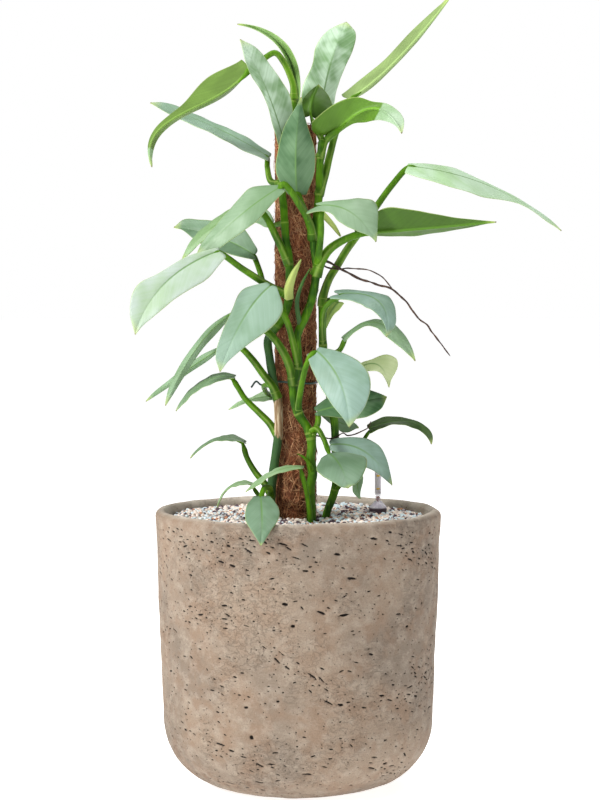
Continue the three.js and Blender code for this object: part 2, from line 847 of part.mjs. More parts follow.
// Sheaths that a leaf has left behind, still on the stem, and dried or fresh points
const SHEATHS = [
  {
    stem: 'stem_left',
    path: [[-9, -30, 476], [-9, -35, 484], [-5, -37, 497], [3, -38, 513]],
    radii: [5.2, 1.4],
  },
  {
    stem: 'stem_centre',
    path: [[19, -25, 561], [26, -26, 554], [34, -25, 545], [41, -24, 535]],
    radii: [3.4, 2.2],
  },
  {
    stem: 'stem_centre',
    path: [[13, -31, 306], [12, -37, 314], [6, -38, 322], [-1, -38, 326]],
    radii: [2.6, 1],
  },
  {
    stem: 'stem_centre',
    path: [[2, -31, 448], [-1, -37, 472], [4, -36, 490], [12, -34, 505]],
    radii: [2.8, 1],
  },
];

// Aerial roots, each fused from its strands
const AERIAL_ROOTS = {
  aerial_roots_long: [
    {
      path: [
        [20, -25, 510], [27, -24, 511], [36, -24, 507], [50, -25, 499], [60, -25, 494], [69, -26, 491],
        [79, -26, 488], [91, -27, 484], [96, -28, 480], [105, -30, 471], [109, -31, 465], [117, -32, 456],
        [125, -33, 449], [129, -33, 443], [138, -34, 431], [146, -35, 420],
      ],
      radii: [1.7, 1],
    },
    {
      path: [
        [21, -24, 510], [29, -23, 505], [39, -22, 503], [48, -23, 505], [60, -24, 503], [72, -25, 501],
        [78, -25, 498], [84, -26, 493], [91, -27, 485],
      ],
      radii: [1.1, 0.8],
    },
  ],
  aerial_root_low: [
    {
      path: [
        [14, -28, 344], [24, -22, 341], [36, -20, 340], [44, -20, 345], [48, -20, 342], [60, -20, 345],
        [68, -19, 350], [71, -18, 357],
      ],
      radii: [1.1, 0.8],
    },
  ],
};

// Pot, and the line of its inside from the middle of the floor up to the lip
function insideProfile(inset) {
  const size = POT_CORNER - POT_WALL;
  const profile = [[0, POT_FLOOR + inset]];
  for (let i = 0; i <= INNER_CORNER_STEPS; i += 1) {
    const turn = (Math.PI / 2) * (i / INNER_CORNER_STEPS);
    const r = POT_LOW_RADIUS - POT_WALL - size + (size - inset) * Math.sin(turn);
    profile.push([r, POT_FLOOR + size - (size - inset) * Math.cos(turn)]);
  }
  return profile;
}

function pot() {
  const profile = [[0, 0]];
  for (let i = 0; i <= CORNER_STEPS; i += 1) {
    const turn = (Math.PI / 2) * (i / CORNER_STEPS);
    profile.push([
      POT_LOW_RADIUS - POT_CORNER + POT_CORNER * Math.sin(turn), POT_CORNER - POT_CORNER * Math.cos(turn),
    ]);
  }
  const lip = POT_WALL / 2;
  for (let i = 0; i <= LIP_STEPS; i += 1) {
    const turn = Math.PI * (i / LIP_STEPS);
    profile.push([POT_RIM_RADIUS - lip + lip * Math.cos(turn), POT_HEIGHT - lip + lip * Math.sin(turn)]);
  }
  profile.push(...insideProfile(0).reverse());
  return toSolid(lathe(profile, POT_SEGMENTS));
}

function grainHeight(x, y) {
  const coarse = Math.sin(x * 0.41 + 1.3 * Math.sin(y * 0.23)) * Math.sin(y * 0.44 + Math.sin(x * 0.19));
  const fine = Math.sin(x * 0.97 + y * 0.31) * Math.sin(y * 0.88 - x * 0.27);
  return GRAIN_RELIEF * (0.6 * coarse + 0.4 * fine);
}

function granules() {
  const profile = insideProfile(GAP);
  const slope = (POT_RIM_RADIUS - POT_LOW_RADIUS) / (POT_HEIGHT - POT_WALL / 2 - POT_CORNER);
  const [low, bend] = profile.at(-1);
  const outer = low + slope * (FILL_TOP - bend) - 2 * GAP;
  profile.push([outer, FILL_TOP - GRAIN_RELIEF]);
  for (let i = 0; i <= GRAIN_RINGS; i += 1) profile.push([outer * (1 - i / GRAIN_RINGS), FILL_TOP]);
  const geometry = lathe(profile, POT_SEGMENTS);
  const position = geometry.attributes.position;
  for (let i = 0; i < position.count; i += 1) {
    if (position.getZ(i) < FILL_TOP) continue;
    position.setZ(i, FILL_TOP + grainHeight(position.getX(i), position.getY(i)));
  }
  return toSolid(geometry);
}

function rootBall(grow) {
  const [low, high] = BALL_RADIUS;
  const profile = [[0, BALL_BOTTOM - grow], [low + grow, BALL_BOTTOM - grow]];
  profile.push([high + grow, BALL_TOP + grow], [0, BALL_TOP + grow]);
  return toSolid(lathe(profile, BALL_SEGMENTS));
}

function coir() {
  const [down, inward] = COIR_ROUND;
  const profile = [[0, POLE_BOTTOM]];
  for (let i = 0; i <= COIR_RINGS; i += 1) {
    profile.push([POLE_RADIUS, THREE.MathUtils.lerp(POLE_BOTTOM, POLE_TOP - down, i / COIR_RINGS)]);
  }
  profile.push([POLE_RADIUS - inward, POLE_TOP], [0, POLE_TOP]);
  const geometry = lathe(profile, 2 * COIR_RIDGES);
  const position = geometry.attributes.position;
  for (let i = 0; i < position.count; i += 1) {
    const turn = Math.atan2(position.getY(i), position.getX(i));
    const ridge = COIR_RIDGE * Math.sin(COIR_RIDGES * turn + position.getZ(i) * COIR_TWIST);
    const scale = 1 + (ridge - COIR_RIDGE) / POLE_RADIUS;
    position.setXYZ(i, position.getX(i) * scale, position.getY(i) * scale, position.getZ(i));
  }
  return toSolid(geometry).translate([...POLE_AT, 0]);
}

function poleSpace(radius, bottom, top) {
  return cylinder(radius, bottom, top, ROUND_SEGMENTS).translate([...POLE_AT, 0]);
}

function gaugePiece(profile) {
  return toSolid(lathe(profile, GAUGE_SEGMENTS)).translate([...GAUGE_AT, 0]);
}

function tie(grow) {
  const ring = new THREE.TorusGeometry(POLE_RADIUS + TIE_RADIUS, TIE_RADIUS + grow, ...TIE_FACES);
  const loop = toSolid(ring).translate([...POLE_AT, TIE_HEIGHT]);
  return loop.add(sweep(TIE_END, [TIE_RADIUS, TIE_RADIUS * 0.8], { grow, step: TIE_STEP }));
}

// Stems, each fused with its leaf stalks and sheaths
function stemSolid(name, grow) {
  const { path, radii } = STEMS[name];
  const solids = [sweep(path, radii, { ...STEM_FACES, grow })];
  for (const leaf of LEAVES.filter(({ stem }) => stem === name)) {
    solids.push(sweep([...leaf.stalk, leaf.base], leaf.radii, { grow }));
  }
  for (const sheath of SHEATHS.filter(({ stem }) => stem === name)) {
    solids.push(sweep(sheath.path, sheath.radii, { grow, step: SHEATH_STEP }));
  }
  return joined(solids);
}

const poleOuter = poleSpace(POLE_RADIUS + GAP, 0, POLE_TOP + GAP);
const tieSolid = tie(0);
const tieSpace = tie(GAP);
const stems = {};
const stemSpaces = [];
for (const name of Object.keys(STEMS)) {
  stems[name] = stemSolid(name, 0).subtract(poleOuter).subtract(tieSpace);
  stemSpaces.push(stemSolid(name, GAP));
}
const stemSpace = joined(stemSpaces);

const pieces = new Map();
const CLAY_LOOK = { color: CLAY, roughness: 0.85 };
const STEM_LOOK = { color: STEM_GREEN, roughness: 0.5 };
pieces.set('pot', [pot(), CLAY_LOOK]);

// Water gauge, in a tube that stands beside the root ball
const GAUGE_LOOK = { color: 0xe8ecee, roughness: 0.1 };
const DARK_PLASTIC = { color: 0x2a2330, roughness: 0.4 };
const RED_PLASTIC = { color: 0xc03030, roughness: 0.4 };
const gaugeTop = FILL_TOP + GRAIN_RELIEF;
const collarTop = gaugeTop + COLLAR_HIGH;
const coneTop = gaugeTop + CONE_TOP;
const [floatFoot, floatShoulder, floatNeck] = FLOAT_AT.map((height) => GAUGE_FOOT + height);
const ring = (bore, radius, bottom, top) => [
  [bore, bottom], [radius, bottom], [radius, top], [bore, top], [bore, bottom],
];
const gauge = {
  gauge_shaft: [ring(SHAFT_BORE, SHAFT_RADIUS, GAUGE_FOOT, gaugeTop), DARK_PLASTIC],
  gauge_collar: [ring(SHAFT_BORE, COLLAR_RADIUS, gaugeTop + GAP, collarTop), DARK_PLASTIC],
  gauge_cone: [
    [
      [SHAFT_BORE, collarTop + GAP], [CONE_RADIUS, collarTop + GAP], [CONE_TOP_RADIUS, coneTop],
      [CONE_TOP_RADIUS - CONE_WALL, coneTop], [SHAFT_BORE, collarTop + GAP],
    ],
    GAUGE_LOOK,
  ],
  gauge_tube: [
    [
      [TUBE_BORE, coneTop + GAP], [TUBE_RADIUS, coneTop + GAP], [TUBE_RADIUS, GAUGE_TOP], [0, GAUGE_TOP],
      [0, GAUGE_TOP - TUBE_CAP], [TUBE_BORE, GAUGE_TOP - TUBE_CAP], [TUBE_BORE, coneTop + GAP],
    ],
    GAUGE_LOOK,
  ],
  gauge_float: [
    [
      [0, floatFoot], [FLOAT_RADIUS, floatFoot], [FLOAT_RADIUS, floatShoulder], [ROD_RADIUS, floatNeck],
      [ROD_RADIUS, gaugeTop + ROD_TOP], [0, gaugeTop + ROD_TOP],
    ],
    RED_PLASTIC,
  ],
};
for (const [name, [profile, look]] of Object.entries(gauge)) pieces.set(name, [gaugePiece(profile), look]);
const spaceRadius = SHAFT_RADIUS + GAP;
const gaugeSpace = gaugePiece([
  [0, GAUGE_FOOT - GAP], [spaceRadius, GAUGE_FOOT - GAP], [spaceRadius, POT_HEIGHT], [0, POT_HEIGHT],
]);

// Filling
const granuleSolid = granules().subtract(rootBall(GAP)).subtract(poleOuter)
  .subtract(gaugeSpace).subtract(stemSpace);
pieces.set('granules', [granuleSolid, { color: GRAIN, roughness: 0.9 }]);
const ballSolid = rootBall(0).subtract(poleOuter).subtract(stemSpace);
pieces.set('root_ball', [ballSolid, { color: SOIL, roughness: 0.95 }]);

// Coir pole and its tie
const sleeve = coir().subtract(poleSpace(CORE_RADIUS + GAP, 0, CORE_TOP)).subtract(tieSpace);
pieces.set('pole_coir', [sleeve, { color: COIR, roughness: 0.95 }]);
const core = poleSpace(CORE_RADIUS, CORE_TIP, CORE_TOP - GAP);
pieces.set('pole_core', [core, { color: WOOD, roughness: 0.7 }]);
pieces.set('tie_wire', [tieSolid, { color: TIE_GREEN, roughness: 0.5 }]);

// Plant
for (const [name, solid] of Object.entries(stems)) pieces.set(name, [solid, STEM_LOOK]);
for (const [name, strands] of Object.entries(AERIAL_ROOTS)) {
  const root = joined(strands.map(({ path, radii }) => sweep(path, radii, { step: ROOT_STEP })));
  pieces.set(name, [withoutSpecks(root.subtract(stemSpace)), { color: ROOT_BROWN, roughness: 0.8 }]);
}
const UNDERSIDES = [
  'leaf_top_right', 'leaf_top_back', 'leaf_upper_left_drooping', 'leaf_upper_right_arching',
  'leaf_right_underside', 'leaf_low_right_wavy',
];
for (const leaf of LEAVES) {
  const color = UNDERSIDES.includes(leaf.name) ? LEAF_GREEN : SILVER_GREEN;
  pieces.set(leaf.name, [withoutSpecks(blade(leaf).subtract(stemSpace)), { color, roughness: 0.45 }]);
}

const plant = new THREE.Group();
for (const [name, [solid, look]] of pieces) {
  const mesh = new THREE.Mesh(toGeometry(solid), new THREE.MeshStandardMaterial({ ...look, metalness: 0 }));
  mesh.name = name;
  plant.add(mesh);
}

export default plant;
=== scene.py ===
# Potted silver queen philodendron: the looks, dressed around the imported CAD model.
# Lengths are millimetres until a piece is made, in the CAD's frame: +Z up, the front looks along -Y.
import math
from dataclasses import dataclass
from itertools import product

import bmesh
import bpy
import numpy as np
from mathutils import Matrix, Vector
from mathutils.geometry import delaunay_2d_cdt


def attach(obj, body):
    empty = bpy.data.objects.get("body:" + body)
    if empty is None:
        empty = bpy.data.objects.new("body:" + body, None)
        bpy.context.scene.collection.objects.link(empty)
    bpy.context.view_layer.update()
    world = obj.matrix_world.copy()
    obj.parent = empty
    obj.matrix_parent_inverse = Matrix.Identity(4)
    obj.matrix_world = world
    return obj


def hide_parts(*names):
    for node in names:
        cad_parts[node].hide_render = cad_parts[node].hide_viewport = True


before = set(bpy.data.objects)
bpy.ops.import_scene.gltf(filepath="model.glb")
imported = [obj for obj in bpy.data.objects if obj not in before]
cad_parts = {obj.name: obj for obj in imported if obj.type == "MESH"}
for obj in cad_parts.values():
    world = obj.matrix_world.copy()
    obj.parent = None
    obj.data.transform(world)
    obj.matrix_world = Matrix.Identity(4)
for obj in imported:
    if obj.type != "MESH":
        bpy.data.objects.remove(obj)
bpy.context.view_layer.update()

UNIT = 0.001

# Sizes that the CAD model also has
POT_HEIGHT = 268.6
POT_RIM_RADIUS = 140
POT_LOW_RADIUS = 132.9
POT_CORNER = 63
POT_WALL = 12
POT_FLOOR = 16
FILL_TOP = 258.6
POLE_AT = np.array([-2.5, 0, 0])
POLE_RADIUS = 20.2
POLE_TOP = 643
POLE_BOTTOM = 52
TIE_HEIGHT = 393.5
TIE_RADIUS = 1
TIE_END = [(-23, -4, 393.5), (-32, -2, 390), (-37, -2, 391), (-41, -2, 394), (-46, -2, 388)]
GAUGE_AT = np.array([80, 38, 0])
GAUGE_TOP = 312
GAUGE_FOOT = 34
COLLAR_BOTTOM = 260.2

# Leaf veins: how far apart they leave the midrib, and how they sweep towards the tip
VEIN_PITCH = 8.5
VEIN_SWEEP = 1.1
VEIN_CURL = 0.012

# Seeds of the random draws
POT_SEED = 5
GRAIN_SEED = 8
COIR_SEED = 21

# How finely a curve is sampled between two given points, and the waves in a sum of soft noise
CURVE_STEPS = 24
NOISE_WAVES = 9
FIBRE_TAPER = 0.6
FIBRE_SIDEWAYS = (0.31, 0.23, 0.92)  # crossed with a fibre's run, it gives a way square to it
JOIN_WITHIN = 2e-6  # metres
LEANING_FRONT = (0.3, -1, 0.2)  # where the first corner of a tube's ring points, if nothing else is said


# Colours, from their 0 to 255 screen values
def colour(red, green, blue):
    def linear(value):
        value /= 255
        return value / 12.92 if value <= 0.04045 else ((value + 0.055) / 1.055) ** 2.4
    return (linear(red), linear(green), linear(blue), 1)


def deeper(shade, share):
    """The colour with its light times share, at most white."""
    return tuple(min(1, value * share) for value in shade[:3]) + (1,)


# Shader maths
class Signal:
    """An output socket. Arithmetic on it adds Math nodes."""

    def __init__(self, nodes, socket):
        self.nodes = nodes
        self.socket = socket

    def math(self, operation, *others):
        return self.nodes.node("Math", {"operation": operation}, self, *others)

    def __add__(self, other):
        return self.math("ADD", other)

    def __sub__(self, other):
        return self.math("SUBTRACT", other)

    def __rsub__(self, other):
        return self.nodes.node("Math", {"operation": "SUBTRACT"}, other, self)

    def __mul__(self, other):
        return self.math("MULTIPLY", other)

    def __truediv__(self, other):
        return self.math("DIVIDE", other)

    __radd__ = __add__

    def span(self, low, high, start, end):
        """Goes evenly from start to end while the signal goes from low to high."""
        return self.nodes.node("MapRange", {}, self, low, high, start, end)

    def rise(self, low, high):
        """0 below low, 1 above high, smooth between. Falls instead where high is the lower one."""
        return self.nodes.node("MapRange", {"interpolation_type": "SMOOTHSTEP"}, self, low, high, 0.0, 1.0)

    def lines(self, pitch, sharp):
        """1 on lines that lie a pitch apart, and 0 between them."""
        return ((self / pitch).math("FRACT") - 0.5).math("ABSOLUTE").rise(0.5 - sharp, 0.5)


class Nodes:
    """A node tree that grows by one call for each node."""

    def __init__(self, tree):
        self.tree = tree

    def node(self, kind, settings, *inputs, **named):
        """Adds a node. Among its settings, output names the socket that is wanted, if it isn't the first."""
        settings = dict(settings)
        wanted = settings.pop("output", None)
        node = self.tree.nodes.new("ShaderNode" + kind)
        for key, value in settings.items():
            setattr(node, key, value)
        shown = [socket for socket in node.inputs if socket.enabled]
        for socket, value in zip(shown, inputs):
            self.feed(socket, value)
        for key, value in named.items():
            self.feed(next(socket for socket in shown if socket.name == key), value)
        out = [socket for socket in node.outputs if socket.enabled]
        return Signal(self, next(socket for socket in out if wanted in (None, socket.name)))

    def feed(self, socket, value):
        if isinstance(value, Signal):
            self.tree.links.new(value.socket, socket)
        else:
            socket.default_value = value


class Finish(Nodes):
    """A material, built up from nodes around its Principled shader."""

    def __init__(self, name, **constants):
        self.material = bpy.data.materials.new(name)
        self.material.use_nodes = True
        super().__init__(self.material.node_tree)
        self.shader = self.tree.nodes["Principled BSDF"]
        self.place = self.node("TexCoord", {"output": "Object"})
        self.wear(**constants)

    def wear(self, **inputs):
        """Sets the shader's own sockets, with underscores for the spaces in their names."""
        for key, value in inputs.items():
            self.feed(self.shader.inputs[key.replace("_", " ")], value)
        return self.material

    def value(self, name):
        return self.node("Attribute", {"attribute_name": name, "output": "Fac"})

    def noise(self, size, detail=2.0, rough=0.5, stretch=(1, 1, 1), shift=(0, 0, 0)):
        """Noise with marks about size millimetres wide, longer along an axis where stretch is below 1."""
        place = self.node("VectorMath", {"operation": "MULTIPLY"}, self.place, stretch)
        place = self.node("VectorMath", {"operation": "ADD"}, place, shift)
        return self.node("TexNoise", {}, Vector=place, Scale=1 / (size * UNIT), Detail=detail,
                         Roughness=rough)

    def cells(self, size, output):
        """Cells about size millimetres wide: each one's own Color, or the Distance from its middle."""
        return self.node("TexVoronoi", {"output": output}, Vector=self.place, Scale=1 / (size * UNIT))

    def blend(self, factor, low, high):
        return self.node("Mix", {"data_type": "RGBA"}, Factor=factor, A=low, B=high)

    def bump(self, height, depth, strength=1.0):
        """A normal from a height of 0 to 1 that stands for depth millimetres."""
        return self.node("Bump", {}, Height=height, Distance=depth * UNIT, Strength=strength)


# Meshes
def unit(vectors):
    return vectors / np.maximum(np.linalg.norm(vectors, axis=-1, keepdims=True), 1e-9)


def round_turn(sides, start=0.0):
    """The angles of a ring's corners."""
    return start + np.arange(sides) * 2 * np.pi / sides


def bell(distance, width):
    """1 at no distance, and next to nothing at twice the width."""
    return np.exp(-((distance / width) ** 2))


def grid_faces(rows, columns, closed=False, flip=False):
    row = np.arange(rows - 1)[:, None] * columns
    column = np.arange(columns if closed else columns - 1)[None, :]
    low = row + column
    high = row + (column + 1) % columns
    quads = np.stack([low, high, high + columns, low + columns], -1).reshape(-1, 4)
    return quads[:, ::-1] if flip else quads


class Form:
    """The points, faces and point values of one piece, gathered part by part."""

    def __init__(self, *values):
        self.points = []
        self.faces = []
        self.values = {name: [] for name in values}
        self.count = 0

    def add(self, points, faces, **values):
        points = np.asarray(points, float).reshape(-1, 3)
        for group in faces:
            self.faces.append(np.asarray(group) + self.count)
        self.points.append(points)
        for name, parts in self.values.items():
            value = np.asarray(values.get(name, 0.0), float).ravel()
            parts.append(np.broadcast_to(value, len(points)))
        self.count += len(points)

    def piece(self, name, finish, slot, *nodes, weld=False):
        """Makes the object, which rides with the plant and stands for the CAD nodes that are named."""
        corners = np.concatenate([group.ravel() for group in self.faces]).astype(np.int32)
        sizes = np.concatenate([np.full(len(group), group.shape[1]) for group in self.faces])
        mesh = bpy.data.meshes.new(name)
        mesh.vertices.add(self.count)
        mesh.vertices.foreach_set("co", (np.vstack(self.points) * UNIT).ravel())
        mesh.loops.add(len(corners))
        mesh.loops.foreach_set("vertex_index", corners)
        mesh.polygons.add(len(sizes))
        mesh.polygons.foreach_set("loop_start", (np.cumsum(sizes) - sizes).astype(np.int32))
        for value, parts in self.values.items():
            mesh.attributes.new(value, "FLOAT", "POINT").data.foreach_set("value", np.concatenate(parts))
        mesh.update(calc_edges=True)
        mesh.shade_smooth()
        mesh.materials.append(finish)
        if weld:
            join_points(mesh)
        piece = bpy.data.objects.new(name, mesh)
        bpy.context.scene.collection.objects.link(piece)
        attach(piece, "root")
        if nodes:
            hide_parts(*nodes)


def join_points(mesh):
    """Joins points that lie together and drops the faces that this closes up."""
    edit = bmesh.new()
    edit.from_mesh(mesh)
    bmesh.ops.remove_doubles(edit, verts=edit.verts, dist=JOIN_WITHIN)
    bmesh.ops.dissolve_degenerate(edit, edges=edit.edges, dist=1e-7)
    edit.to_mesh(mesh)
    edit.free()


def dress(node, finish):
    """Gives a CAD node that stays its finish."""
    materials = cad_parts[node].data.materials
    materials.clear()
    materials.append(finish)


def run_along(line):
    return np.concatenate([[0], np.cumsum(np.linalg.norm(np.diff(line, axis=0), axis=1))])


def smooth_line(points, step):
    """A centripetal curve through the points, with a point about every step."""
    given = np.array(points, float)
    given = np.vstack([2 * given[0] - given[1], given, 2 * given[-1] - given[-2]])
    t = np.linspace(0, 1, CURVE_STEPS, endpoint=False)[:, None]
    dense = []
    for a, b, c, d in zip(given, given[1:], given[2:], given[3:]):
        before, here, after = [max(np.linalg.norm(q - p), 1e-6) ** 0.5 for p, q in ((a, b), (b, c), (c, d))]
        leave = ((b - a) / before - (c - a) / (before + here) + (c - b) / here) * here
        arrive = ((c - b) / here - (d - b) / (here + after) + (d - c) / after) * here
        dense.append(b * (2 * t**3 - 3 * t**2 + 1) + leave * (t**3 - 2 * t**2 + t)
                     + c * (3 * t**2 - 2 * t**3) + arrive * (t**3 - t**2))
    dense = np.vstack([*dense, given[-2]])
    run = run_along(dense)
    marks = np.linspace(0, run[-1], max(3, round(run[-1] / step) + 1))
    return np.column_stack([np.interp(marks, run, dense[:, axis]) for axis in range(3)])


def turning_frames(line, towards):
    """Two directions square to the line at each point, without a twist. At the start the first one is as near
    as it can be to towards."""
    tangents = unit(np.gradient(line, axis=0))
    first = np.empty_like(line)
    direction = np.array(towards, float)
    for i, tangent in enumerate(tangents):
        direction = unit(direction - tangent * (direction @ tangent))
        first[i] = direction
    return first, np.cross(tangents, first)


def tube(form, line, radii, sides, towards=LEANING_FRONT, **values):
    """A closed tube. Its radii and its values are given one for each ring, or rings x sides of them, and
    a value may also be one number."""
    line = np.asarray(line, float)
    rings = len(line)

    def spread(given):
        given = np.asarray(given, float)
        return np.broadcast_to(given[:, None] if given.ndim == 1 else given, (rings, sides))

    turn = round_turn(sides)
    first, second = turning_frames(line, towards)
    round_it = first[:, None] * np.cos(turn)[None, :, None] + second[:, None] * np.sin(turn)[None, :, None]
    points = line[:, None] + round_it * spread(radii)[..., None]
    last = (rings - 1) * sides
    k = np.arange(sides)
    beside = (k + 1) % sides
    start = rings * sides
    caps = [np.stack([np.full(sides, start), beside, k], -1),
            np.stack([np.full(sides, start + 1), last + k, last + beside], -1)]
    values = {name: spread(value) for name, value in values.items()}
    form.add(np.vstack([points.reshape(-1, 3), line[:1], line[-1:]]),
             [grid_faces(rings, sides, closed=True), *caps],
             **{name: [*value.ravel(), value[0, 0], value[-1, 0]] for name, value in values.items()})


def strands(form, lines, radii, **values):
    """Many thin three-sided fibres at once. lines is fibres x points x 3, radii and values one a fibre."""
    count, steps, _ = lines.shape
    tangents = unit(np.gradient(lines, axis=1))
    first = unit(np.cross(tangents, FIBRE_SIDEWAYS))
    second = np.cross(tangents, first)
    width = (radii[:, None] * (1 - FIBRE_TAPER * np.linspace(-1, 1, steps) ** 4))[..., None]
    rings = [lines + (first * math.cos(turn) + second * math.sin(turn)) * width
             for turn in (0, 2 * math.pi / 3, 4 * math.pi / 3)]
    points = np.stack(rings, 2)
    one = grid_faces(steps, 3, closed=True)
    ends = np.array([[0, 2, 1], [3 * steps - 3, 3 * steps - 2, 3 * steps - 1]])
    shift = (np.arange(count) * steps * 3)[:, None, None]
    form.add(points, [(one[None] + shift).reshape(-1, 4), (ends[None] + shift).reshape(-1, 3)],
             **{name: np.repeat(value, steps * 3) for name, value in values.items()})


def turned(form, profile, segments, at=(0, 0, 0), closed=False, start=0.0, **values):
    """A turned body. The profile runs up its outside, seen at its right, and its ends lie on the axis
    unless it is closed."""
    profile = np.array(profile, float)
    rows = len(profile)
    turn = round_turn(segments, start)
    points = np.stack([profile[:, :1] * np.cos(turn), profile[:, :1] * np.sin(turn),
                       np.repeat(profile[:, 1:], segments, axis=1)], -1)
    faces = grid_faces(rows + 1 if closed else rows, segments, closed=True) % (rows * segments)
    form.add(points + np.asarray(at), [faces], **values)


def wobble(points, size, seed):
    """Soft seeded noise, mostly from -1 to 1, with lumps about size millimetres wide."""
    draw = np.random.default_rng(seed)
    total = 0
    for _ in range(NOISE_WAVES):
        direction = unit(draw.normal(size=3)) * draw.uniform(0.6, 1.5) * np.pi / size
        total = total + np.sin(points @ direction + draw.uniform(0, 2 * np.pi))
    return total / math.sqrt(NOISE_WAVES)


# Finishes of the pot and its filling. In every finish a noise's size is in millimetres, its rise sets how
# much of the surface it marks, and the number that it is multiplied by how strongly.
def clay():
    finish = Finish("fibre_clay", Specular_IOR_Level=0.3)
    warm_patches = finish.noise(95, 3).rise(0.36, 0.64)
    blotches = finish.noise(26, 4, 0.6, shift=(3, 1, 2)).rise(0.4, 0.66)
    smears = finish.noise(13, 5, 0.62, (1, 1, 1.2), (5, 2, 8)).rise(0.42, 0.7)
    dust = finish.noise(1.3, 3, 0.7)
    creases = (finish.noise(8, 4, 0.6, (1, 1, 1.7), (3, 5, 9)) - 0.5).math("ABSOLUTE").rise(0.035, 0)
    creases = creases * finish.noise(50, 2, shift=(4, 0, 6)).rise(0.42, 0.6)
    # specks: tiny pits, sunk by the bump and painted dark as their shade
    specks = finish.cells(4.6, "Distance").rise(0.2, 0.1)
    specks = specks * finish.noise(13, 2, shift=(7, 7, 1)).rise(0.46, 0.56)
    fine = finish.noise(3.2, 4, 0.6, (1, 1, 1.6), (2, 9, 4))

    tone = finish.blend(warm_patches, colour(124, 111, 98), colour(146, 129, 112))
    for mark, shade in ((blotches * 0.6, colour(134, 109, 89)), (smears * 0.5, colour(166, 154, 139)),
                        (dust.rise(0.42, 0.7) * 0.35, colour(104, 89, 75)),
                        # paler lip and inside top: partly wear, partly a painted highlight on the lip's top
                        (finish.value("worn") * 0.8, colour(204, 194, 181)),
                        (creases * 0.14, colour(100, 86, 73)), (specks * 0.7, colour(70, 58, 49)),
                        # painted shade: the pits darken to near black towards their floors
                        (finish.value("pit").rise(0.15, 0.75), colour(30, 23, 19))):
        tone = finish.blend(mark, tone, shade)
    height = smears * 0.45 + blotches * 0.2 + dust * 0.3 - specks * 0.5 - creases * 0.5 + fine * 0.5
    return finish.wear(Base_Color=tone, Roughness=0.72 + dust * 0.18 - smears * 0.08,
                       Normal=finish.bump(height, 0.9, 0.9))


def stone(name, main, other, vein):
    main, other, vein = (colour(*tone) for tone in (main, other, vein))
    finish = Finish(name, Specular_IOR_Level=0.4)
    mottled = finish.noise(2.2, 3, 0.6).rise(0.35, 0.65)
    tone = finish.blend(finish.value("tone"), main, other)
    tone = finish.blend(mottled * 0.45, tone, vein)
    crumb = finish.noise(0.5, 3, 0.7)
    return finish.wear(Base_Color=tone, Roughness=0.62 + crumb * 0.25, Normal=finish.bump(crumb, 0.25, 0.6))


def granule_bed():
    finish = Finish("granule_bed")
    light = finish.node("SeparateColor", {}, finish.cells(2.6, "Color"))
    # mottled like the granules but darker: painted shade in the gaps between the loose stones
    tone = finish.blend(light.rise(0.5, 0.7), colour(92, 76, 70), colour(168, 156, 142))
    return finish.wear(Base_Color=tone, Roughness=0.9, Normal=finish.bump(finish.noise(2.5, 3), 1.2))


def soil():
    finish = Finish("potting_soil")
    crumbs = finish.noise(3, 6, 0.7)
    tone = finish.blend(crumbs.rise(0.35, 0.65), colour(38, 27, 20), colour(82, 61, 45))
    return finish.wear(Base_Color=tone, Roughness=0.95 - crumbs * 0.1, Normal=finish.bump(crumbs, 2))


# Finishes of the pole, its tie and the gauge
def coir(name, deep, light, red):
    finish = Finish(name, Specular_IOR_Level=0.2)
    patches = finish.noise(14, 3, 0.6).rise(0.35, 0.68)
    tufts = finish.noise(4.5, 3, 0.6, (1, 1, 0.7), (6, 2, 5)).rise(0.42, 0.62)
    lint = finish.noise(0.9, 3, 0.7)
    tone = finish.blend(finish.value("tone"), deep, light)
    tone = finish.blend(patches * 0.45, tone, red)
    # painted shade: darker where the tufts sink, in the gaps between them
    tone = finish.blend((1 - tufts) * 0.62, tone, deep)
    tone = finish.blend(lint.rise(0.5, 0.75) * 0.35, tone, light)
    return finish.wear(Base_Color=tone, Roughness=0.8 + lint * 0.15,
                       Normal=finish.bump(tufts + lint * 0.3, 1.2, 0.7))


def pole_wood():
    finish = Finish("pole_wood")
    grain = finish.noise(2.5, 4, 0.6, (1, 1, 0.06))
    tone = finish.blend(grain.rise(0.35, 0.7), colour(176, 146, 100), colour(204, 180, 138))
    return finish.wear(Base_Color=tone, Roughness=0.6 + grain * 0.2, Normal=finish.bump(grain, 0.3))


def plastic(name, shade, worn, rough):
    finish = Finish(name)
    scuffs = finish.noise(6, 5, 0.7)
    return finish.wear(Base_Color=finish.blend(scuffs.rise(0.45, 0.75) * 0.5, shade, worn),
                       Roughness=rough + scuffs.rise(0.5, 0.8) * 0.15, Normal=finish.bump(scuffs, 0.06, 0.5))


def clear_plastic():
    """Clear where the window is, so that the float's tip shows, and hazy above it."""
    finish = Finish("clear_plastic", Specular_IOR_Level=0.5)
    haze = finish.noise(7, 3)
    height = finish.node("SeparateXYZ", {"output": "Z"}, finish.place) / UNIT
    tone = finish.blend(haze * 0.4, colour(236, 231, 238), colour(222, 216, 228))
    return finish.wear(Base_Color=tone, Roughness=0.25 + haze * 0.1,
                       Alpha=0.2 + height.rise(GAUGE_WINDOW, GAUGE_WINDOW + 3) * 0.55)


def frosted_plastic():
    finish = Finish("frosted_cone", Specular_IOR_Level=0.5)
    cloud = finish.noise(5, 3)
    tone = finish.blend(cloud.rise(0.35, 0.65), colour(196, 188, 206), colour(240, 236, 246))
    return finish.wear(Base_Color=tone, Roughness=0.3 + cloud * 0.15)


